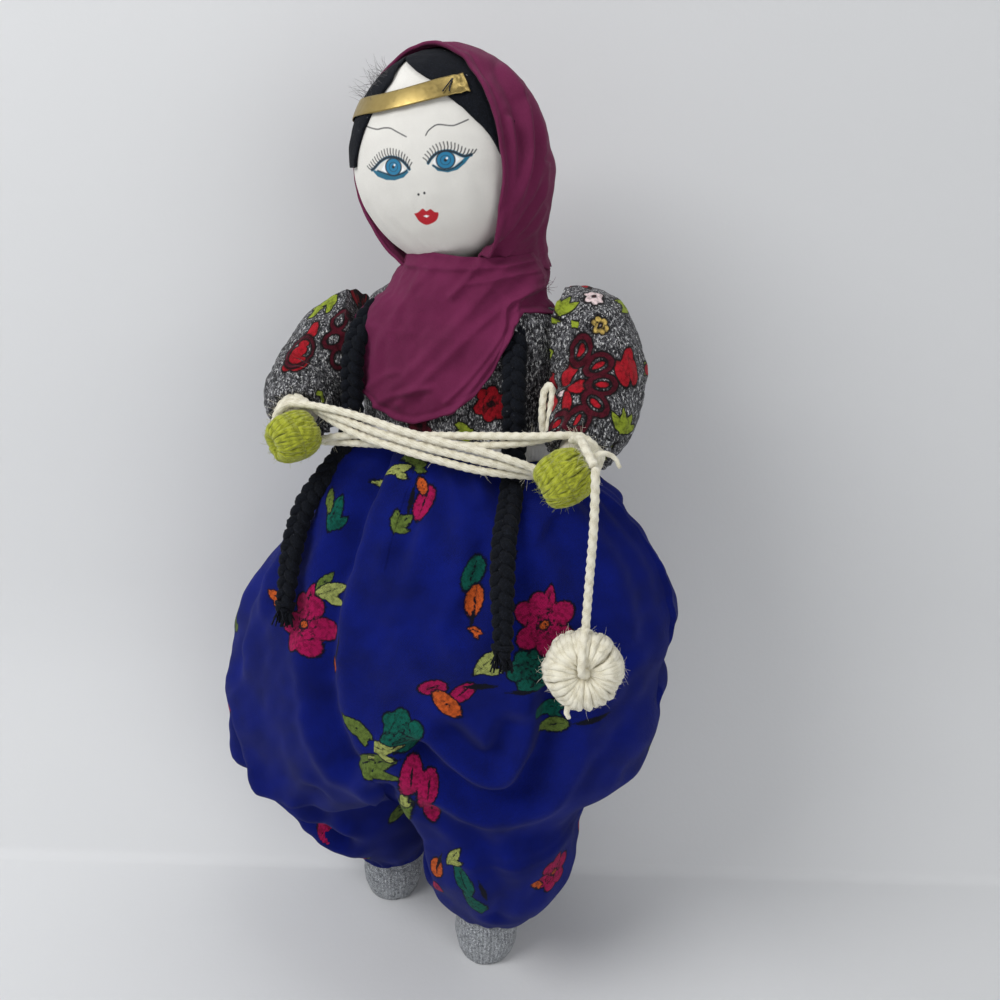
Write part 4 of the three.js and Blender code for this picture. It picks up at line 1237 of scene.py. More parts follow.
@dataclass
class Hood:
    """The part of the scarf that covers the head and hangs to the neck.

    Its edge is one closed loop: from the peak of the hair down the left side of the face,
    round the neck and up the right side. Rows of cloth run from it to a point behind the head.
    """

    head: Head
    view: PhotoView
    cloth: float = 1.1
    pole: tuple = (0.4, 0.72, 0.57)
    power: float = 14.0
    hem_rows: tuple = (0, 0.006, 0.014, 0.024, 0.036, 0.05)
    wide_rows: tuple = (0.065, 0.985, 88)
    tube_z: tuple = (280, 326)
    tube_reach: tuple = (20, 62, 90)
    calm: int = 400
    even_by: float = 0.3
    loop: tuple = (
        (-1.3, -7.7, 357.2), (8.1, -11.3, 353.5), (16.2, -15.3, 345.2), (21.1, -16.8, 336.5),
        (23.4, -17.6, 327.9), (23.6, -16.4, 315.9), (18.4, -13.4, 303.2), (12.4, -12.4, 295.4),
        (7.5, -13.8, 290.6), (13, -14.4, 289.4), (21, -11, 289.6), (28, -4, 289.6), (31.6, 5, 289.6),
        (31, 16, 289.6), (24, 27, 289.6), (12, 32.6, 289.6), (0, 31.6, 289.6), (-10, 25, 289.6),
        (-15, 15, 289.6), (-15.6, 5, 289.6), (-13, -3, 289.6), (-13, -6.5, 290.5), (-20, -5.4, 294.5),
        (-27, -2.4, 300), (-33, -0.6, 309.5), (-35, 0.2, 319), (-35, 0.2, 331), (-33, 0.2, 338),
        (-27, 0.6, 348), (-16, -1.0, 355),
    )
    drape: tuple = (
        (284, 8, 9, 24, 24), (288, 8, 9, 24, 24), (300, 4, 8, 25, 26), (312, -1, 4, 33, 29.5),
        (326, -2, 2, 34, 31),
    )
    creases: tuple = (
        (((505, 66), (526, 110), (528, 165), (512, 215), (482, 251)), 2.4, 1.7),
        (((538, 100), (543, 150), (534, 190), (514, 225), (488, 251)), 2.1, 1.5),
        (((548, 165), (543, 195), (524, 228), (496, 252)), 1.9, 1.3),
        (((547, 208), (532, 233), (504, 252)), 1.7, 1.2),
        (((547, 232), (527, 246), (502, 254)), 1.5, 1.1),
        (((510, 120), (516, 165), (508, 208), (484, 246)), 1.1, 1.4),
        (((546, 252), (526, 255), (500, 257)), 1.3, 1.1),
        (((470, 52), (496, 64), (516, 92)), 0.8, 2.2),
    )

    def tube_radius(self, ways: Points) -> Points:
        """Give how far the hanging part lies from the head's middle in each direction."""
        centre = np.array(self.head.centre)
        levels = np.array(self.drape)
        reach = np.linspace(*self.tube_reach)
        place = centre + ways[:, None] * reach[None, :, None]
        z = place[..., 2]
        cx, cy, a, b = (np.interp(z, levels[:, 0], levels[:, k]) for k in range(1, 5))
        inside = np.hypot((place[..., 0] - cx) / a, (place[..., 1] - cy) / b) < 1
        inside &= (z > self.tube_z[0]) & (z < self.tube_z[1])
        last = inside.shape[1] - 1 - inside[:, ::-1].argmax(axis=1)
        return np.where(inside.any(axis=1), reach[last] + 0.25, 0.0)

    def radius(self, ways: Points) -> Points:
        """Give the cloth's distance from the head's middle in each direction."""
        egg = self.head.radius(ways @ self.head.place(), 3.1)
        tube = self.tube_radius(ways)
        return (egg ** self.power + tube ** self.power) ** (1 / self.power)

    def build(self, finishes: Finishes) -> Piece:
        """Build the hood."""
        centre = np.array(self.head.centre)
        pole = unit(np.array(self.pole))
        loop = np.array(self.loop)
        edge = even_line(smooth_line(np.vstack([loop, loop[:1]]), 6), 0.95)[:-1]
        for _ in range(3):
            edge = (np.roll(edge, 1, axis=0) + 2 * edge + np.roll(edge, -1, axis=0)) / 4
        out = unit(edge - centre)
        far = np.arccos(np.clip(out @ pole, -1, 1))
        aside = unit(out - pole * (out @ pole)[:, None])
        first = aside[0]
        second = np.cross(pole, first)
        turn = np.unwrap(np.arctan2(aside @ second, aside @ first))
        plain = np.linspace(turn[0], turn[0] + math.copysign(2 * math.pi, turn[-1] - turn[0]),
                            len(turn), endpoint=False)
        off = turn - plain
        for _ in range(self.calm):
            off = (np.roll(off, 1) + 2 * off + np.roll(off, -1)) / 4
        ways = []
        for t in (*self.hem_rows, *np.linspace(*self.wide_rows)):
            angle = (far * (1 - t))[:, None]
            share = float(ease(t / self.even_by))
            round_ = (turn * (1 - share) + (plain + off) * share)[:, None]
            side = first * np.cos(round_) + second * np.sin(round_)
            ways.append(pole * np.cos(angle) + side * np.sin(angle))
        ways = np.array(ways)
        size = self.soften(self.radius(ways.reshape(-1, 3)).reshape(ways.shape[:2]), 7)
        place = centre + ways * size[..., None]
        rows = self.fold(place, ways)
        points = np.vstack([rows.reshape(-1, 3), rows[-1].mean(axis=0)])
        faces = grid_faces(len(rows), len(edge), True)
        tip, last = len(points) - 1, (len(rows) - 1) * len(edge)
        faces += [(last + i, last + (i + 1) % len(edge), tip) for i in range(len(edge))]
        hood = make("scarf_hood_cloth", Shell(points, faces).outward(centre), finishes.scarf)
        thicken(hood, self.cloth)
        dress(hood, "head", ("scarf_hood",))
        return hood

    @staticmethod
    def soften(size: Points, rounds: int) -> Points:
        """Even out steps in a field of radii, round its columns and along its rows."""
        for _ in range(rounds):
            size = (np.roll(size, 1, axis=1) + 2 * size + np.roll(size, -1, axis=1)) / 4
            inner = (size[:-2] + 2 * size[1:-1] + size[2:]) / 4
            size = np.vstack([size[:1], inner, size[-1:]])
        return size

    def fold(self, place: Points, ways: Points) -> Points:
        """Raise the creases, the folds behind and the doubled hem."""
        flat = place.reshape(-1, 3)
        out = ways.reshape(-1, 3)
        seen = self.view.project(flat)[:, :2]
        front = ease((unit(np.array(self.view.place) - flat) * out).sum(axis=1) / 0.5)
        rise = 0.14 * ripple(flat, 16, 31) + 0.07 * ripple(flat, 5, 32)
        for line, height, width in self.creases:
            away = line_distance(seen, smooth_line(line, 5)) / PIXELS_PER_MM
            rise += front * height * (np.exp(-(away / width) ** 2)
                                      - 0.5 * np.exp(-((away - 1.8 * width) / width) ** 2))
        low = ease((322 - flat[:, 2]) / 30)
        turn = np.arctan2(flat[:, 1] - 8, flat[:, 0] - 6)
        behind = ease((flat[:, 1] + 2) / 14)
        rise += behind * low * 0.8 * np.sin(13 * turn + 2 * np.sin(3 * turn) + flat[:, 2] / 16)
        away = np.linalg.norm(place - place[0][None], axis=-1).reshape(-1)
        rise += 0.75 * np.exp(-(away / 2.2) ** 4) - 0.35 * np.exp(-((away - 3.4) / 0.8) ** 2)
        return place + (out * rise[:, None]).reshape(place.shape)


@dataclass
class Bib:
    """The neck wrap and the bib of the scarf, which lie on the chest."""

    view: PhotoView
    cloth: float = 1.3
    columns: int = 300
    rows: int = 96
    top_z: float = 297.2
    meet: tuple = (268, 17)
    over_jacket: float = 3.2
    rolls: tuple = ((5.0, -4.0), (3.0, -1.2), (1.4, -0.1))
    wrap: tuple = (
        (268, 4, 3, 36, 24), (274, 4, 3, 31.5, 22.5), (280, 5, 3.5, 27.5, 23), (288, 7, 5.5, 25, 22.8),
        (294, 6.5, 6, 23, 21.6), (299, 6, 6, 21.4, 20.4),
    )
    chest: tuple = (
        (225, 35.3, 18.2), (228, 35.3, 18), (250, 36.3, 19), (268, 36, 18.5), (278, 31, 15.5),
        (284, 17, 11.5),
    )
    lower: tuple = (
        (-180, 272), (-166, 270), (-158, 266), (-152, 259), (-147, 251.5), (-140, 246), (-132, 242),
        (-122, 238.4), (-112, 236.4), (-100, 236.4), (-88, 239.3), (-78, 243), (-68, 248.5), (-59, 257),
        (-53, 266), (-46, 273), (-34, 277), (-20, 277), (0, 275), (40, 272), (90, 270), (140, 271),
        (180, 272),
    )
    creases: tuple = (
        (((553, 282), (520, 295), (514, 330), (502, 347), (480, 377), (460, 405), (448, 417)), 1.3, 1.2),
        (((540, 288), (508, 303), (501, 335), (470, 378), (446, 402)), 1.1, 1.0),
        (((480, 262), (466, 280), (452, 296)), 1.5, 1.3),
        (((410, 264), (450, 268), (500, 266), (550, 256)), 1.3, 1.2),
        (((550, 266), (510, 276), (470, 284)), 1.1, 1.2),
        (((505, 268), (478, 300), (430, 352), (384, 398)), 1.3, 2.0),
        (((545, 274), (505, 304), (455, 350), (400, 405)), 1.0, 1.6),
        (((430, 270), (405, 300), (378, 352), (370, 392)), 1.1, 1.8),
        (((400, 268), (378, 300), (364, 345)), 1.0, 1.5),
        (((372, 412), (395, 396), (430, 388)), 1.3, 1.2),
        (((368, 390), (384, 376), (400, 372)), 0.8, 1.2),
    )

    def build(self, finishes: Finishes) -> Piece:
        """Build the wrap and the bib as one sheet."""
        turns = np.linspace(-180, 180, self.columns, endpoint=False)
        low = np.interp(turns, *zip(*self.lower))
        turns = np.radians(turns)
        top = self.top_z + 2.6 * np.sin(turns) - 1.2 * np.cos(turns)
        rows = [self.surface(turns, top + (low - top) * t) for t in np.linspace(0, 1, self.rows)]
        inwards = (np.array([6.0, 6.0, 0]) - rows[0]) * np.array([1, 1, 0])
        rolled = [rows[0] + inwards * inset / 24 + np.array([0, 0, drop]) for inset, drop in self.rolls]
        rows = self.fold(np.array(rolled + rows))
        shell = Shell(rows.reshape(-1, 3), grid_faces(len(rows), self.columns, True)).turned()
        bib = make("scarf_bib_cloth", shell, finishes.scarf)
        thicken(bib, self.cloth)
        points, facing = mesh_points(bib)
        seen = self.view.project(points)
        rim = (np.hypot(seen[:, 0] - 549, seen[:, 1] - 281) < 9) & (points[:, 0] > 24)
        threads = fuzz(points[rim], facing[rim], 26, 4.0, 45, 0.09)
        dress(make("scarf_frayed_threads", threads, finishes.scarf), "body")
        dress(bib, "body", ("scarf_bib",))
        return bib

    def surface(self, turn: Points, z: Points) -> Points:
        """Give the points over the neck and chest in each direction and at each height."""
        wrap, chest = np.array(self.wrap), np.array(self.chest)
        blend = ease((z - self.meet[0]) / self.meet[1])
        wrapped = [np.interp(z, wrap[:, 0], wrap[:, k]) for k in range(1, 5)]
        flat = [3, 2, *(np.interp(z, chest[:, 0], chest[:, k]) + self.over_jacket for k in (1, 2))]
        cx, cy, a, b = (low * (1 - blend) + high * blend for low, high in zip(flat, wrapped))
        return oval(cx, cy, a + self.cloth, b + self.cloth, turn, z)

    def fold(self, rows: Points) -> Points:
        """Raise the folds of the bib and its rolled edges."""
        flat = rows.reshape(-1, 3)
        out = unit((flat - np.array([4, 4, 0])) * np.array([1, 1.6, 0]))
        seen = self.view.project(flat)[:, :2]
        front = ease((4 - flat[:, 1]) / 6)
        rise = 0.35 * ripple(flat, 11, 41) + 0.12 * ripple(flat, 4, 42)
        for line, height, width in self.creases:
            away = line_distance(seen, smooth_line(line, 5)) / PIXELS_PER_MM
            rise += front * height * np.exp(-(away / width) ** 2)
        turn = np.arctan2(flat[:, 1] - 5, flat[:, 0] - 5)
        rise += (1 - front) * 0.7 * np.sin(11 * turn + flat[:, 2] / 7)
        edge = np.linalg.norm(rows - rows[-1][None], axis=-1).reshape(-1)
        rise += 0.55 * np.exp(-(edge / 1.6) ** 4) - 0.25 * np.exp(-((edge - 2.6) / 0.7) ** 2)
        return (flat + out * rise[:, None]).reshape(rows.shape)


# ---- Jacket and band


@dataclass
class Jacket:
    """The padded body of the jacket, its two sleeves and the elastic at the waist."""

    view: PhotoView
    middle: tuple = (3.0, 2.0)
    levels: tuple = (
        (206, 33.5, 18.5), (212, 35.2, 19.2), (228, 35.3, 18), (250, 36.3, 19), (262, 36.2, 18.8),
        (268, 36, 18.5), (278, 31, 15.5), (284, 17, 11.5), (286, 9, 8),
    )
    grow: float = 2.25
    armhole: float = 38.3
    radii: tuple = (14.5, 16.5, 16.4, 15.5, 11.6)
    columns: int = 150
    tucks: tuple = ((0.42, 0.9), (0.55, 1.1), (0.68, 0.8))
    band_profile: tuple = ((225.5, 2.4), (225.6, 3.9), (226.2, 4.35), (227.4, 4.2), (228.6, 4.35),
                           (229.8, 4.2), (231.0, 4.35), (231.6, 3.9), (231.7, 2.4))

    def build(self, finishes: Finishes) -> None:
        """Build the jacket."""
        levels = smooth_line(self.levels, 14)
        turns = full_turn(240)
        rows = np.array([oval(*self.middle, a + self.grow, b + self.grow, turns, z)
                         for z, a, b in levels])
        flat = rows.reshape(-1, 3)
        out = unit((flat - np.array([3, 2, 0])) * np.array([0.4, 1, 0]))
        tucks = ripple(flat * np.array([1, 1, 0.3]), 6, 52) * ease((246 - flat[:, 2]) / 16)
        rise = 0.4 * ripple(flat, 12, 51) + 0.5 * tucks
        rise -= 1.0 * np.exp(-((np.abs(flat[:, 0] - 3) - 31) / 2.4) ** 2) * (flat[:, 2] > 232)
        rise *= ease((flat[:, 2] - 206) / 6) * 0.8
        flat = flat + out * rise[:, None]
        reach = self.armhole - 0.6
        flat[:, 0] = np.clip(flat[:, 0], self.middle[0] - reach, self.middle[0] + reach)
        jacket = make("jacket_body_flannel", closed_grid(flat.reshape(rows.shape)), finishes.jacket)
        ink = Print(jacket, len(JACKET_INKS), self.view)
        ink.rose(3, 5, ink.seen(490, 402), 6.5, 20, 4)
        ink.spray(0, ink.seen(472, 430), 3, 4, 200, 40)
        ink.rose(4, 5, ink.seen(420, 428), 5, 60)
        scatter(ink, 15, 6, (5, 3, 0), -0.15)
        ink.finish()
        dress(jacket, "body", ("jacket_body",))
        for side, line in ARMS.items():
            self.sleeve(side, line, finishes)
        self.band(finishes)

    def sleeve(self, side: str, line: Sequence, finishes: Finishes) -> None:
        """Build one padded sleeve, gathered at its armhole and at the wrist."""
        path = smooth_line(line, 30)
        share = np.linspace(0, len(self.radii) - 1, len(path))
        step = np.minimum(share.astype(int), len(self.radii) - 2)
        blend = ease(share - step)
        radii = np.array(self.radii)
        tube = sweep(path, radii[step] * (1 - blend) + radii[step + 1] * blend, self.columns)
        rows = tube.points[:-2].reshape(len(path), self.columns, 3)
        flat, ways = rows.reshape(-1, 3), unit(rows - path[:, None]).reshape(-1, 3)
        angle = np.tile(full_turn(self.columns), len(path))
        t = np.repeat(share / (len(self.radii) - 1), self.columns)
        rise = 0.45 * ripple(flat, 13, 61) + 0.15 * ripple(flat, 5, 62)
        rise += 0.55 * np.sin(19 * angle + 2 * np.sin(3 * angle)) * np.exp(-((t - 1) / 0.13) ** 2)
        rise += 0.5 * np.sin(15 * angle + 1.5 * np.sin(2 * angle)) * np.exp(-(t / 0.12) ** 2)
        bend = np.array([1 if side == "left" else -1, 0.6, 0.2])
        inner = ease((-(ways * bend).sum(axis=1) + 0.1) / 0.6)
        for at, depth in self.tucks:
            rise -= inner * depth * np.exp(-((t - at) / 0.028) ** 2)
        flat = flat + ways * rise[:, None]
        reach, keep = (-self.armhole, np.minimum) if side == "right" else (self.armhole, np.maximum)
        flat[:, 0] = keep(flat[:, 0], self.middle[0] + reach)
        rows = flat.reshape(rows.shape)
        last, centre = rows[-1], path[-1]
        along = unit(path[-1] - path[-3])
        ends = [last + along * drop + (centre - last) * pull for drop, pull in
                ((0.5, 0.04), (0.6, 0.12), (0.1, 0.2), (-1.6, 0.36))]
        rows = np.vstack([rows, np.array(ends)])
        sleeve = make(f"sleeve_{side}_flannel", closed_grid(rows).outward(), finishes.jacket, 70)
        ink = Print(sleeve, len(JACKET_INKS), self.view)
        self.pattern(ink, side)
        scatter(ink, 15, 7, (4, 3, 0), -0.1)
        ink.finish()
        dress(sleeve, f"arm_{side}", (f"sleeve_{side}",))

    def pattern(self, ink: Print, side: str) -> None:
        """Print the flowers that the photograph shows on a sleeve."""
        lime, yellow, pale, red, maroon, dark = range(6)
        if side == "right":
            ink.spray(lime, ink.seen(336, 296), 3, 4.6, 230, 45)
            ink.spray(lime, ink.seen(322, 308), 2, 3.6, 200, 50)
            for x, y, a in ((340, 320, 60), (334, 340, 30), (348, 344, 110), (338, 358, 80)):
                ink.petal(maroon, ink.seen(x, y), 3.8, 2.4, a, False, 0.5)
            for x, y, a in ((305, 340, 50), (297, 352, 35), (290, 364, 60), (300, 364, 20),
                            (313, 330, 70)):
                ink.petal(red, ink.seen(x, y), 3.4, 1.9, a)
            ink.petal(maroon, ink.seen(300, 352), 6.5, 4.2, 50, False, 0.4)
            ink.petal(lime, ink.seen(322, 397), 2.4, 1.4, 60, True)
            return
        ink.rose(pale, yellow, ink.seen(595, 297), 3.6, 20, maroon)
        ink.rose(yellow, dark, ink.seen(600, 326), 3.2, 40, pale)
        for x, y, n, a in ((546, 322, 2, 150), (560, 315, 3, 80), (552, 352, 2, 200), (622, 432, 4, 60),
                           (604, 458, 4, 140)):
            ink.spray(lime, ink.seen(x, y), n, 4.2, a, 38)
        for x, y, length, a in ((540, 396, 5.6, 20), (569, 372, 4.4, 70), (580, 386, 4.2, 20),
                                (566, 404, 4.0, 290), (553, 384, 4.2, 140), (552, 406, 4.0, 220)):
            ink.petal(red, ink.seen(x, y), length, 0.5 * length, a)
        ink.petal(pale, ink.seen(562, 393), 2.0, 0.9, 30)
        for x, y, a in ((582, 352, 80), (598, 366, 40), (603, 384, 0), (596, 404, 320), (577, 420, 280),
                        (556, 424, 240)):
            ink.petal(maroon, ink.seen(x, y), 4.4, 3.0, a, False, 0.6)
            ink.petal(red, ink.seen(x, y), 2.0, 0.9, a)
        for x, y, a in ((628, 360, 60), (634, 372, 80), (622, 374, 110)):
            ink.petal(red, ink.seen(x, y), 4.4, 2.2, a)

    def band(self, finishes: Finishes) -> None:
        """Build the ribbed elastic at the waist."""
        turns = full_turn(720)
        rows = []
        for z, grow in self.band_profile:
            rib = 0.13 * np.sin(120 * turns) * (grow > 4)
            rows.append(oval(*self.middle, 35.4 + grow + rib, 18.1 + grow + rib, turns,
                             z + 0.25 * np.sin(3 * turns)))
        faces = grid_faces(len(rows), len(turns), True, True)
        band = make("waistband_elastic", Shell(np.vstack(rows), faces), finishes.band)
        dress(band, "body", ("waistband",))


ARMS = {
    "right": ((-34.8, 4, 264), (-45, 3, 258), (-53, -2, 246), (-55, -10, 238), (-51, -20, 233.5)),
    "left": ((40.8, 4, 269.5), (49, 3.6, 268.5), (55, 0, 258), (56.8, -8, 245.5), (56.5, -20, 235.5)),
}
WRISTS = {"right": (-51.0, -20.0, 233.5), "left": (56.5, -20.0, 235.5)}
HANDS = {"right": (-42.0, -38.5, 231.0), "left": (58.5, -40.0, 232.0)}


def scatter(ink: Print, apart: float, size: float, inks: tuple[int, int, int], behind: float) -> None:
    """Print small sprays over the parts of a piece that the photograph doesn't show.

    Args:
        ink: The piece's print.
        apart: The least distance between sprays in mm.
        size: The size of a flower in mm.
        inks: The inks of the petals' edges, of the petals and of the leaves.
        behind: How far a part must look away from the camera.
    """
    towards = unit(np.array(ink.view.place) - ink.points)
    out = unit(ink.points - ink.points.mean(axis=0))
    hidden = np.maximum((ink.facing * towards).sum(axis=1), (out * towards).sum(axis=1))
    away = np.nonzero(hidden < behind)[0]
    rng = np.random.default_rng(len(ink.points))
    kept: list[int] = []
    for spot in rng.permutation(away)[:900]:
        if all(np.linalg.norm(ink.points[spot] - ink.points[k]) > apart for k in kept):
            kept.append(int(spot))
    for k, spot in enumerate(kept):
        angle = float(rng.uniform(0, 360))
        if k % 3 == 0:
            ink.rose(inks[1], inks[0], spot, size, angle)
            ink.spray(inks[2], spot, 2, 0.5 * size, angle + 160, 60)
        elif k % 3 == 1:
            ink.spray(inks[2], spot, 3, 0.55 * size, angle, 42)
        else:
            ink.petal(inks[1], spot, 0.55 * size, 0.28 * size, angle)
            ink.spray(inks[2], spot, 2, 0.4 * size, angle + 180, 50)


# ---- Shalwar


@dataclass
class Shalwar:
    """Wide trousers, gathered at the waist and round each ankle, made of a right and a left half."""

    view: PhotoView
    seat: tuple = (
        (225.4, 3, 1, 39.0, 22.5), (224, 3.4, 0.6, 42.6, 26.6), (221, 4, 0, 44, 29),
        (214, 6, 0.5, 53, 35.5), (204, 7.8, 0, 62, 43), (190, 9.5, 1, 71, 50), (171, 6, 1, 82, 56),
        (148, -1.2, 1.5, 88, 59), (123, -5.2, 1.5, 91, 59.5), (106, -8.2, 1.5, 90, 58.5),
        (94, -13, 1.5, 84, 54.5), (84, -18.5, 1.5, 72, 47.5), (76, -20, 0, 58, 38),
        (19, -20, 0, 30, 20),
    )
    lobes: tuple = (
        ((19.5, -32, 13.5, 13.2, 13.6), (29, -33, 12, 18, 20), (42, -37, 9, 25, 30),
         (60, -41.5, 7, 34, 39), (78, -46, 4.5, 43, 46), (98, -49, 1, 47.5, 52),
         (226, -49, 1, 47.5, 52)),
        ((22.5, 22.6, -3.4, 13.2, 13.2), (31, 26, -5, 20, 20), (44, 28, -8, 26, 27),
         (58, 30, -9, 29.5, 34), (76, 31, -9.5, 30, 39.5), (98, 32, -10, 29.5, 41),
         (226, 32, -10, 29.5, 41)),
    )
    front_folds: tuple = (
        (((-17, 222), (-21, 190), (-22, 141), (-12, 118)), 4.0, 6.0),
        (((16, 128), (34, 113), (50, 113), (58, 131), (62, 154)), 5.5, 6.0),
        (((27, 138), (40, 130), (48, 142)), 3.0, 5.0),
        (((-80, 104), (-74, 86), (-62, 68), (-34, 55)), 4.0, 6.0),
        (((2, 108), (5, 86), (8, 62)), 4.0, 5.0),
        (((30, 222), (33, 200), (30, 178)), 1.8, 4.5),
        (((-38, 220), (-48, 196), (-52, 168)), 2.2, 5.5),
        (((54, 208), (66, 190), (74, 166)), 2.4, 5.0),
        (((6, 222), (4, 196)), 1.4, 4.0),
        (((-64, 186), (-74, 160), (-76, 130)), 1.8, 6.0),
        (((22, 104), (34, 92), (44, 70), (40, 50)), 1.8, 4.5),
        (((-30, 96), (-38, 76), (-36, 52)), 1.8, 4.5),
    )
    back_folds: tuple = (
        (((62, 200), (73, 184), (84, 150)), 4.0, 6.0), (((-10, 222), (-14, 180), (-22, 120)), 4.0, 7.0),
        (((24, 222), (30, 180), (34, 110)), 4.0, 7.0), (((-44, 214), (-58, 176), (-62, 120)), 3.0, 6.0),
        (((6, 214), (10, 160)), 2.0, 5.0), (((-30, 96), (-40, 70), (-36, 44)), 2.4, 5.0),
        (((34, 90), (30, 60)), 2.0, 5.0),
    )
    top: float = 225.4
    columns: int = 262
    wall: int = 26
    opening: float = math.radians(48)
    split: tuple = (106, 28)

    def build(self, finishes: Finishes) -> None:
        """Build both halves."""
        for index, side in enumerate(("right", "left")):
            self.half(side, index, finishes)

    def levels(self, table: Sequence, heights: Points) -> Points:
        """Blend a table of levels over the given heights."""
        line = smooth_line(sorted(table), 12)
        return np.stack([np.interp(heights, line[:, 0], line[:, k]) for k in range(1, 5)])

    @staticmethod
    def turns(sign: float, reach: Any, t: Points) -> Points:
        """Give the directions round one half, from its front seam to its back seam."""
        return -reach - (2 * np.pi - 2 * reach) * t if sign < 0 else -reach + 2 * reach * t

    def half(self, side: str, index: int, finishes: Finishes) -> None:
        """Build one half, from the waist down to its ankle."""
        sign = -1.0 if side == "right" else 1.0
        cuff = self.lobes[index][0][0]
        heights = np.concatenate([[self.top - 0.01], np.linspace(self.top - 0.5, cuff + 26, 200),
                                  cuff + 26 * np.linspace(0.985, 0, 46)])
        cx, cy, a, b = self.levels(self.seat, heights)
        lx, ly, la, lb = self.levels(self.lobes[index], heights)
        columns, wall, opening = self.columns, self.wall, self.opening
        seam_x = 0.02 * sign
        reach = np.arccos(np.clip((seam_x - cx) / a, -0.98, 0.98))
        t = np.linspace(0, 1, columns)[None]
        angle = self.turns(sign, reach[:, None], t)
        seat = oval(cx[:, None], cy[:, None], a[:, None], b[:, None], angle, 0.0)[..., :2]
        w = np.linspace(0, 1, wall + 2)[None, 1:-1, None]
        flat_wall = seat[:, -1:] * (1 - w) + seat[:, :1] * w
        start = opening if sign < 0 else math.pi - opening
        ring = self.turns(sign, start, t)
        inner = start + sign * 2 * opening * w[..., 0]
        lobe_angle = np.hstack([np.broadcast_to(ring, (len(heights), columns)),
                                np.broadcast_to(inner, (len(heights), wall))])
        lobe = oval(lx[:, None], ly[:, None], la[:, None], lb[:, None], lobe_angle, 0.0)[..., :2]
        whole = np.hstack([seat, flat_wall])
        share = ease((self.split[0] - heights) / self.split[1])[:, None, None]
        flat = whole * (1 - share) + lobe * share
        seat_angle = np.hstack([angle, np.zeros((len(heights), wall))])
        out = np.stack([np.cos(seat_angle), np.sin(seat_angle)], axis=-1) * (1 - share)
        out += np.stack([np.cos(lobe_angle), np.sin(lobe_angle)], axis=-1) * share
        z = np.repeat(heights[:, None], columns + wall, axis=1)
        points = np.concatenate([flat, z[..., None]], axis=-1)
        move = self.cloth(points.reshape(-1, 3), seat_angle.reshape(-1)).reshape(z.shape)
        on_wall = np.zeros(z.shape)
        on_wall[:, columns:] = 1
        move *= 1 - on_wall * (1 - share[..., 0])
        gathers = 0.9 * np.cos(15 * lobe_angle + 1.3 * np.sin(4 * lobe_angle))
        move += gathers * np.exp(-((z - cuff) / 11) ** 2) * ease((z - cuff) / 3)
        seam = ease(np.abs(points[..., 0]) / 9)[..., None]
        calm = np.concatenate([np.maximum(seam, share > 0.5), np.ones_like(seam)], axis=-1)
        points[..., :2] += unit(out) * calm * move[..., None]
        upper = (share[..., 0] < 1) | (np.abs(points[..., 0]) < 40)
        keep = np.minimum if sign < 0 else np.maximum
        points[..., 0] = np.where(upper, keep(points[..., 0], seam_x), points[..., 0])
        ankle, last = np.array([*self.lobes[index][0][1:3], 0]), points[-1]
        ends = [last + (ankle - last) * np.array([1, 1, 0]) * pull + np.array([0, 0, drop])
                for pull, drop in ((0.06, -1.0), (0.16, -1.3), (0.27, -0.4), (0.33, 2.0))]
        points = np.concatenate([points, np.array(ends)], axis=0)
        piece = make(f"shalwar_{side}_wool", closed_grid(points).outward(), finishes.shalwar, 75)
        ink = Print(piece, len(SHALWAR_INKS), self.view)
        self.pattern(ink)
        scatter(ink, 27, 9, (5, 3, 1), -0.05)
        ink.finish()
        seat_node = ("shalwar_seat",) if side == "right" else ()
        dress(piece, nodes=(f"shalwar_leg_{side}", *seat_node))
        top, bottom = (tuple(metres((float(ankle[0]), 0, z))) for z in (92, 26))
        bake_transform(piece)
        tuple(top)
        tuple(bottom)

    def cloth(self, points: Points, angle: Points) -> Points:
        """Give how far each point of the cloth stands out of or into the plain form."""
        z = points[:, 2]
        down = self.top - z
        fine = np.cos(24 * angle + 1.6 * np.sin(5 * angle) + 0.7 * np.sin(3 * angle))
        wide = np.cos(11 * angle + 0.8 * np.sin(2 * angle))
        move = 1.5 * fine * np.exp(-down / 24) * np.minimum(1, down / 5)
        move += 1.3 * wide * np.exp(-down / 60) * np.minimum(1, down / 8)
        side = points[:, [0, 2]]
        front = points[:, 1] < 0
        for lines, chosen in ((self.front_folds, front), (self.back_folds, ~front)):
            for line, depth, width in lines:
                far = line_distance(side[chosen], smooth_line(line, 5)) / width
                crease = np.exp(-far ** 2) - 0.4 * np.exp(-((far - 1.6) / 0.8) ** 2)
                move[chosen] -= 1.4 * depth * crease
        move += 0.9 * ripple(points, 34, 71) * ease(down / 30) + 0.35 * ripple(points, 11, 72)
        return move

    def pattern(self, ink: Print) -> None:
        """Print the flowers that the photograph shows on one half."""
        spots = [(kind, colour, *place) for kind, colour, places in MOTIFS for place in places]
        for kind, colour, x, y, size, angle in spots:
            spot = ink.seen(x, y)
            seen = self.view.project(ink.points[spot][None])[0]
            if math.hypot(seen[0] - x, seen[1] - y) > 9:
                continue
            size = 1.22 * size
            if kind == "rose":
                ink.rose(colour, DARK, spot, size, angle, ORANGE if colour == MAGENTA else None)
            elif kind == "bud":
                ink.petal(colour, spot, size, 0.52 * size, angle)
                ink.petal(DARK, spot, 0.8 * size, 0.07 * size, angle + 6, True)
            elif colour == DARK:
                ink.petal(colour, spot, 0.85 * size, 0.13 * size, angle, True)
            else:
                ink.petal(colour, spot, size, 0.36 * size, angle, True)
                ink.petal(DARK, spot, 0.9 * size, 0.035 * size, angle, True)
                ink.petal(colour, spot, 0.55 * size, 0.2 * size, angle - 35, True,
                              place=(0.3 * size, -0.45 * size))


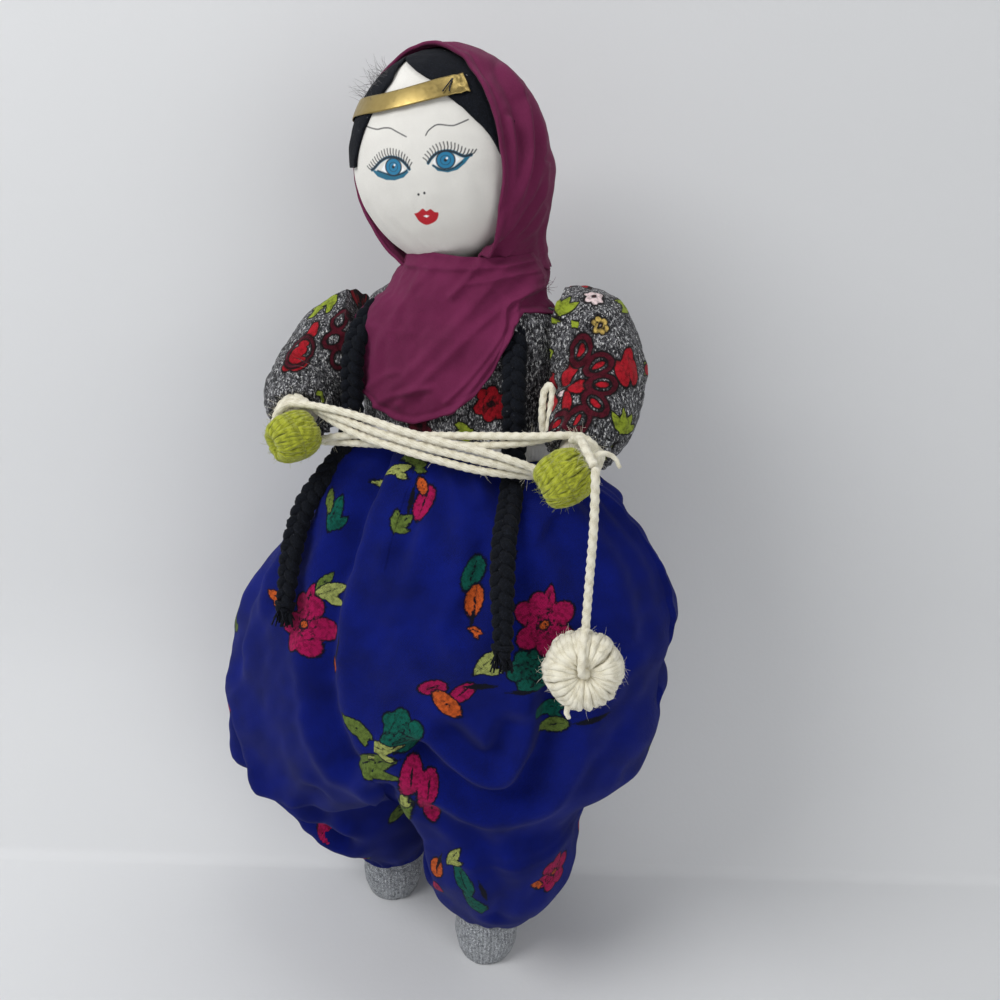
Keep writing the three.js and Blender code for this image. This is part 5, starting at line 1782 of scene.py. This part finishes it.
# The trousers' motifs: kind, ink, then x and y in the picture, size in mm and angle of each
TEAL, OLIVE, LIGHT, MAGENTA, ORANGE, DARK = range(len(SHALWAR_INKS))
MOTIFS = (
    ("leaf", LIGHT, ((397, 470, 4.4, 200), (385, 482, 3.4, 240), (330, 592, 6.0, 20),
     (488, 663, 5.8, 50), (378, 748, 5.6, 190), (404, 800, 3.6, 60), (453, 857, 4.4, 60))),
    ("leaf", OLIVE, ((418, 462, 4.0, 30), (398, 523, 4.0, 250), (329, 500, 4.2, 120),
     (325, 582, 4.2, 50), (235, 618, 6.0, 80), (366, 762, 7.0, 215), (355, 729, 6.0, 150))),
    ("bud", MAGENTA, ((425, 502, 5.2, 100), (433, 688, 4.2, 20), (462, 693, 4.2, 40),
     (413, 776, 6.0, 75), (428, 786, 5.4, 70), (432, 808, 4.4, 100), (437, 888, 4.2, 70))),
    ("bud", ORANGE, ((422, 486, 2.6, 120), (474, 600, 4.4, 80), (505, 563, 4.0, 70),
     (447, 704, 4.8, 320), (437, 868, 4.2, 80))),
    ("leaf", DARK, ((412, 500, 6.0, 75), (337, 650, 5.6, 95), (474, 617, 5.0, 90),
     (592, 720, 7.4, 20), (480, 686, 7.0, 5), (484, 892, 6.6, 110), (520, 692, 5.6, 10),
     (440, 860, 5.0, 70))),
    ("leaf", TEAL, ((335, 513, 6.0, 80), (528, 663, 6.0, 20), (536, 682, 7.0, 340),
     (550, 706, 5.4, 20), (462, 880, 7.0, 110), (474, 905, 6.4, 120), (390, 742, 4.6, 120))),
    ("rose", MAGENTA, ((304, 624, 9.6, 10), (543, 626, 9.2, 40), (554, 872, 7.6, 20))),
    ("leaf", MAGENTA, ((309, 597, 4.5, 80), (548, 600, 4.6, 80))),
    ("leaf", ORANGE, ((275, 595, 3.8, 170), (335, 664, 2.6, 100), (475, 632, 2.6, 0),
     (536, 884, 3.2, 150))),
    ("bud", TEAL, ((472, 574, 5.0, 60),)),
    ("bud", OLIVE, ((555, 724, 4.2, 200), (402, 810, 5.6, 60))),
    ("rose", TEAL, ((403, 735, 7.6, 30), (531, 672, 6.8, 10))),
)


# ---- Feet


@dataclass
class Shoes:
    """Feet of silver-grey knit, round on top and flat below."""

    half: tuple = (13.3, 13.0, 20.0)
    centre_z: float = 12.5
    ankles: tuple = (("right", -32.0, 13.8), ("left", 22.6, -3.4))
    columns: int = 120

    def build(self, finishes: Finishes) -> None:
        """Build both feet."""
        for side, x, y in self.ankles:
            turns = full_turn(self.columns)
            rows, places = [], []
            for a in np.linspace(-0.66, 1.1, 70):
                z = max(self.centre_z + self.half[2] * math.sin(a), 0.0)
                reach = [half * math.cos(a) for half in self.half[:2]]
                rows.append(oval(x, y - 1, *reach, turns, z))
                places.append(np.stack(np.broadcast_arrays(turns * 12, a * 18), axis=-1))
            rows = np.array(rows)
            out = unit(rows - np.array([x, y - 1, 12]))
            rise = 0.25 * ripple(rows, 6, 81) * (rows[..., 2] > 0.6)
            rows = rows + out * rise[..., None]
            middle = np.array([x, y - 1, 0])
            sole = (middle + (rows[0] - middle) * 0.94) * np.array([1, 1, 0])
            rows = np.vstack([sole[None], rows])
            places = np.array([places[0], *places])
            rows[..., 2] = np.maximum(rows[..., 2], 0.0)
            shoe = make(f"shoe_{side}_knit", closed_grid(rows, places).outward(), finishes.knit)
            dress(shoe, f"leg_{side}", (f"shoe_{side}",))


# ---- Wound wool


@dataclass
class Winding:
    """Yarn wound over a rim and through the eye in the middle.

    Args:
        rim: The radius of the outer turn.
        eye: The radius of the eye.
        half: Half of the height along the axis.
        loops: How many turns lie side by side.
        thick: The yarn's radius at the rim.
        seed: Which of the random orders it is.
        slant: How far turns lean over each other.
    """

    rim: float
    eye: float
    half: float
    loops: int
    thick: float
    seed: int
    slant: float
    wad: tuple = (16, 40)
    sunk: float = 0.45

    def shell(self, place: Callable[[Points], Points]) -> Shell:
        """Build all the turns and the wad under them.

        Args:
            place: Turns and moves the points to where the winding belongs.

        Returns:
            The wound wool in the doll's frame.
        """
        rng = np.random.default_rng(self.seed)
        parts = []
        for k in range(self.loops):
            way = 2 * np.pi * (k + rng.uniform(-0.3, 0.3)) / self.loops
            lean = rng.uniform(-self.slant, self.slant)
            grow = rng.uniform(-0.45, 0.45)
            round_ = np.linspace(0, 2 * np.pi, 27)
            middle, reach = (self.rim + self.eye) / 2, (self.rim - self.eye) / 2 + grow
            out = middle + reach * np.cos(round_)
            turn = way + lean * np.sin(round_) + 0.03 * np.sin(3 * round_ + k)
            path = oval(0, 0, out, out, turn, (self.half + grow) * np.sin(round_))
            share = np.clip((out - self.eye) / (self.rim - self.eye), 0, 1)
            parts.append(sweep(place(path), self.thick * (0.4 + 0.6 * share), 8, 2, 0.24, 6.0))
        a, u = np.meshgrid(full_turn(20), np.linspace(-1.5, 1.5, 12))
        plug = np.stack([np.cos(a) * np.cos(u), np.sin(a) * np.cos(u), np.sin(u)], axis=-1)
        plug = plug * np.array([self.eye + 2.2, self.eye + 2.2, 0.97 * self.half])
        placed = place(plug.reshape(-1, 3)).reshape(plug.shape)
        parts.append(closed_grid(placed, plug[..., :2]).outward())
        section, turns = map(full_turn, self.wad)
        sunk = self.sunk * self.thick
        middle, reach = (self.rim + self.eye) / 2, (self.rim - self.eye) / 2 - sunk
        out = (middle + reach * np.cos(section))[:, None]
        height = (self.half - sunk) * np.sin(section)
        wad = oval(0, 0, out, out, turns, height[:, None])
        faces = grid_faces(*self.wad, True, True)
        uv = np.stack(np.broadcast_arrays(turns[None] * middle, section[:, None] * 3), axis=-1)
        parts.append(Shell(place(wad.reshape(-1, 3)), faces, uv.reshape(-1, 2)).outward())
        return joined(parts)


def fuzz(points: Points, facing: Points, count: int, length: float, seed: int, thin: float) -> Shell:
    """Grow fine curled fibres out of a surface.

    Args:
        points: The surface's points.
        facing: The directions they face.
        count: How many fibres there are.
        length: Their length in mm.
        seed: Which of the random orders it is.
        thin: Their radius.

    Returns:
        All the fibres as one shell.
    """
    rng = np.random.default_rng(seed)
    parts = []
    for spot in rng.integers(0, len(points), count):
        out = unit(facing[spot] + rng.normal(0, 0.55, 3))
        aside = unit(np.cross(out, rng.normal(size=3)))
        t = np.linspace(0, 1, 5)[:, None]
        size = length * rng.uniform(0.5, 1.3)
        path = points[spot] - out * 0.2 + out * t * size + aside * 0.45 * size * t ** 2
        parts.append(sweep(path, thin * np.linspace(1, 0.35, 5), 3))
    return joined(parts)


def aim(start: Sequence, end: Sequence) -> Callable[[Points], Points]:
    """Give a move that turns the z axis along a line and puts the origin at the line's end."""
    along = Vector(end) - Vector(start)
    turn = np.array(Vector((0, 0, 1)).rotation_difference(along).to_matrix())
    return lambda points: points @ turn.T + np.array(end)


@dataclass
class Hands:
    """Two hands of lime-green wool, wound over a cushion.

    Args:
        axes: The direction in which each one's eye looks.
    """

    axes: tuple = ((-0.5, -0.8, -0.25), (-0.8, -0.45, -0.55))

    def build(self, finishes: Finishes) -> None:
        """Build both hands with their fuzz."""
        for k, side in enumerate(("right", "left")):
            middle = np.array(HANDS[side])
            place = aim(middle - np.array(self.axes[k]), middle)
            wound = Winding(7.9, 0.9, 7.6, 84, 0.78, 91 + k, 0.5).shell(place)
            hand = make(f"hand_{side}_wool", wound, finishes.hands)
            points, facing = mesh_points(hand)
            outer = np.linalg.norm(points - middle, axis=1) > 7.5
            hair = fuzz(points[outer], facing[outer], 420, 2.2, 95 + k, 0.07)
            hair = make(f"hand_{side}_fuzz", hair, finishes.hands)
            dress(hand, f"arm_{side}", (f"hand_{side}", f"hand_core_{side}"))
            dress(hair, f"arm_{side}")


# ---- Yarn


@dataclass
class Yarn:
    """Cream yarn: the skein between the hands, its tail, the hanging strand and the ball."""

    thick: float = 2.6
    pivot: tuple = (71.8, -51.0, 239.0)
    ball_z: float = 173.0
    ball_turn: tuple = (22, 74)
    turns: int = 3
    pitch: float = 3.4
    start: float = 2.6
    around: float = 8.05
    route: tuple = ((61.5, -36, 244.2), (66.5, -44.5, 243.5), (70.9, -50.05, 240.8))
    tail: tuple = ((43.4, -18.3, 238.6), (42.6, -18.2, 243), (42.0, -16.8, 248), (42.0, -15.6, 252.4),
                   (43.4, -14.9, 254.6), (44.9, -15.4, 252.4), (45.0, -16.8, 247), (45.2, -18.4, 241.5),
                   (45.4, -19.2, 237.4))
    stub: tuple = (
        (68.6, -46.5, 241.6), (71.6, -43.6, 243.0), (74.6, -41.4, 241.4), (76.4, -41.0, 238.4),
    )
    hang: tuple = (
        (-0.6, 0.6, 0.9), (0, 0, -1.4), (0.5, -0.2, -17), (0.2, 0, -34), (0, 0, -49), (0, 0, -52.2),
    )
    end: tuple = ((70.6, -58.6, 165.4), (70.0, -60.0, 162.0), (70.9, -59.8, 159.8))
    lead: tuple = ((71.8, -51, 187.6), (72.1, -53.2, 186.0), (72.9, -56.6, 183.0), (73.6, -59.2, 179.0),
                   (73.7, -58.8, 175.6), (73.2, -56, 174.0))

    def frame_at(self, side: str) -> tuple[Points, Points, Points, Points]:
        """Give the wrist and the directions along, out and up there."""
        wrist, hand = np.array(WRISTS[side]), np.array(HANDS[side])
        along = unit(hand - wrist)
        out = np.array([1.0 if side == "left" else -1.0, 0, 0])
        out = unit(out - along * (out @ along))
        up = np.array([0, 0, 1.0])
        up = unit(up - along * (up @ along) - out * (up @ out))
        return wrist, along, out, up

    def turn_point(self, side: str, turn: float, angle: float) -> Points:
        """Give a point of the yarn round a wrist."""
        wrist, along, out, up = self.frame_at(side)
        return (wrist + along * (self.start + turn * self.pitch)
                + out * self.around * math.cos(angle) + up * self.around * math.sin(angle))

    def crossing(self, source: str, goal: str, turn: int, after: int, bow: float) -> list[Points]:
        """Give the points of the yarn from one wrist to the other.

        Args:
            source: The side that the yarn leaves.
            goal: The side that it goes to.
            turn: The number of the turn that it leaves.
            after: The number of the turn that it goes to.
            bow: How far it bows forwards in mm.

        Returns:
            The points between the wrists.
        """
        centre = (self.turns - 1) / 2
        out = []
        for k in range(1, 7):
            t = k / 7
            a = self.turn_point(source, centre, math.pi / 2)
            b = self.turn_point(goal, centre, -math.pi / 2)
            along = unit(self.frame_at(source)[1] * (1 - t) + self.frame_at(goal)[1] * t)
            shift = (turn + (after - turn) * t - centre) * self.pitch
            roll = math.pi / 2 * min(1.0, 1.35 * math.sin(math.pi * t))
            out.append(a + (b - a) * t + along * shift * math.cos(roll)
                       + np.array([0, -bow * math.sin(math.pi * t), shift * math.sin(roll)]))
        return out

    def skein_line(self) -> Points:
        """Give the whole line of the skein, as the frame has it."""
        line = []
        for turn in range(self.turns):
            for k in range(8):
                line.append(self.turn_point("right", turn, -math.pi / 2 + math.pi * k / 7))
            line += self.crossing("right", "left", turn, turn, 9.0)
            for k in range(8):
                line.append(self.turn_point("left", turn, -math.pi / 2 + math.pi * k / 7))
            if turn + 1 < self.turns:
                line += self.crossing("left", "right", turn, turn + 1, 2.5)
        last = smooth_line([line[-1], *self.route], 7)[1:]
        return np.vstack([np.array(line), last])

    def build(self, finishes: Finishes) -> None:
        """Build the cords first, then what hangs on them."""
        line = even_line(smooth_line(self.skein_line(), 4), 0.75)
        skein = make("yarn_skein_plied", self.plied(line, self.thick / 2), finishes.yarn)
        self.declare(skein, line, "arm_left", ("yarn_skein", "yarn_bend"))
        tail = even_line(smooth_line(self.tail, 6), 0.6)
        loop = make("yarn_tail_plied", self.plied(tail, self.thick / 2 * 0.92), finishes.yarn)
        self.declare(loop, tail, "arm_left", ("yarn_tail",))
        ball = self.ball(finishes)
        strand = even_line(smooth_line(np.array(self.pivot) + np.array(self.hang), 8), 0.6)
        piece = make("yarn_strand_plied", self.plied(strand, self.thick / 2), finishes.yarn)
        self.declare(piece, strand, "yarn_hang", ("yarn_strand",))
        self.loose_ends(finishes)

    @staticmethod
    def plied(line: Points, radius: Any) -> Shell:
        """Lay three-ply yarn along a line."""
        return sweep(line, radius, 12, 3, 0.3, 9.0)

    def declare(self, piece: Piece, line: Points, body: str, nodes: tuple) -> None:
        """Hang a length of yarn on its body and hide the frame's nodes that it replaces.

        Args:
            piece: The yarn.
            line: The line that it follows, in mm.
            body: The body that it rides on.
            nodes: The nodes that it replaces.
        """
        dress(piece, body, nodes)
        way = metres(line)
        tuple(way[0])
        [tuple(p) for p in way]

    def ball(self, finishes: Finishes) -> Piece:
        """Build the wound ball, its pigtail and its fuzz."""
        turn = turn_about(2, self.ball_turn[0]) @ turn_about(0, self.ball_turn[1])
        centre = np.array([*self.pivot[:2], self.ball_z])
        wound = Winding(11.6, 1.0, 7.9, 66, 1.3, 101, 0.2).shell(lambda p: p @ turn.T + centre)
        ball = make("yarn_ball_wound", wound, finishes.yarn)
        points, facing = mesh_points(ball)
        outer = np.linalg.norm(points - centre, axis=1) > 9
        hair = fuzz(points[outer], facing[outer], 500, 2.8, 103, 0.07)
        hair = make("yarn_ball_fuzz", hair, finishes.yarn)
        end, lead = smooth_line(self.end, 5), smooth_line(self.lead, 8)
        parts = [sweep(end, np.linspace(1.1, 0.7, len(end)), 10, 3, 0.2, 6.0),
                 self.plied(lead, np.linspace(1.3, 1.15, len(lead)))]
        ends = make("yarn_ball_ends", joined(parts), finishes.yarn)
        dress(ball, "yarn_ball", ("yarn_ball", "yarn_ball_core"))
        dress(hair, "yarn_ball")
        dress(ends, "yarn_ball")
        return ball

    def loose_ends(self, finishes: Finishes) -> None:
        """Add the loose end at the left wrist and the fuzz of the skein."""
        line = self.skein_line()
        ways = unit(np.random.default_rng(7).normal(size=(len(line) * 3, 3)))
        hair = fuzz(np.repeat(line, 3, axis=0), ways, 620, 4.2, 105, 0.075)
        hair = make("yarn_skein_fuzz", hair, finishes.yarn)
        stub = smooth_line(self.stub, 6)
        end = sweep(stub, np.linspace(1.0, 0.6, len(stub)), 10, 3, 0.3, 6.0)
        end = make("yarn_loose_end", end, finishes.yarn)
        dress(hair, "arm_left")
        dress(end, "arm_left")


# ---- Braids


@dataclass
class Braids:
    """Two plaits of three dark strands that come out from under the scarf."""

    lines: tuple = (
        ("right",
         ((-25, -6, 274), (-28, -11.5, 268.5), (-30, -17.2, 258), (-30.6, -18, 234), (-33, -20, 222),
          (-37.5, -27, 213), (-41.5, -33.5, 204), (-42.3, -41.5, 191), (-41, -48, 178),
          (-40.5, -51, 169)),
         6),
        ("left",
         ((26.5, -6, 273), (29.5, -12, 266.5), (31.9, -17.8, 254), (33, -18.4, 231), (35.5, -26, 218),
          (39, -40, 207), (42.5, -49, 194), (45, -53.5, 182), (46, -56, 174)),
         5),
    )
    spread: float = 2.3
    strand: float = 2.0
    pitch: float = 13.0

    def build(self, finishes: Finishes) -> None:
        """Plait both braids."""
        for side, line, bend in self.lines:
            path = even_line(smooth_line(line, 12), 0.8)
            way = np.arange(len(path)) * 0.8
            along = unit(np.gradient(path, axis=0))
            ahead = np.array([0, -1.0, 0.25])
            front = unit(ahead - along * (along @ ahead)[:, None])
            aside = np.cross(along, front)
            taper = 1 - 0.22 * ease((way - way[-1] + 26) / 26)
            parts = []
            for k in range(3):
                phase = 2 * np.pi * way / self.pitch + 2 * np.pi * k / 3
                middle = path + aside * (self.spread * taper * np.sin(phase))[:, None]
                middle = middle + front * (1.25 * np.sin(2 * phase))[:, None]
                parts.append(sweep(middle, self.strand * taper, 20, 9, 0.22, 24.0))
            tip, down = path[-1], along[-1]
            a = np.linspace(0, 12.2, 60)[:, None]
            ring = tip - down * 3.5 + aside[-1] * 3.3 * np.cos(a) + front[-1] * 3.1 * np.sin(a)
            parts.append(sweep(ring + down * 0.5 * a / 6, 0.55, 8, 2, 0.3, 3.0))
            rng = np.random.default_rng(111)
            for _ in range(46):
                root = tip + aside[-1] * rng.uniform(-2, 2)
                root = root + front[-1] * rng.uniform(-1.6, 1.6) - down * 2
                way_out = unit(down + rng.normal(0, 0.24, 3))
                along_it = np.linspace(0, rng.uniform(5, 8), 5)[:, None]
                parts.append(sweep(root + way_out * along_it, 0.3, 5))
            braid = make(f"braid_{side}_plait", joined(parts), finishes.braid)
            dress(braid, nodes=(f"braid_{side}_upper", f"braid_{side}_lower"))
            before, pivot, after = (np.array(line[bend + k]) for k in (-1, 0, 1))
            top, bottom = (tuple(metres(pivot + unit(after - before) * k)) for k in (-5, 5))
            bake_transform(braid)
            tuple(top)
            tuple(bottom)


# ---- The whole doll


def dress_hidden(finishes: Finishes) -> None:
    """Give the stuffed parts that stay inside their wadding."""
    for name in ("torso", "neck", "arm_left", "arm_right", "leg_left", "leg_right"):
        node = frame["nodes"][name]
        for held in node.material_slots:
            held.material = finishes.stuffing


def main() -> None:
    """Build the doll, camera and cords first."""
    view = PhotoView()
    view.build()
    Studio(view).build()
    finishes = Finishes()
    Yarn().build(finishes)
    head = Head()
    head.build(finishes, view)
    HairAndBand(head, view).build(finishes)
    hood = Hood(head, view).build(finishes)
    bib = Bib(view).build(finishes)
    Jacket(view).build(finishes)
    Shalwar(view).build(finishes)
    Shoes().build(finishes)
    Hands().build(finishes)
    Braids().build(finishes)
    dress_hidden(finishes)


if __name__ == "__main__":
    logging.basicConfig(level=logging.INFO)
    main()
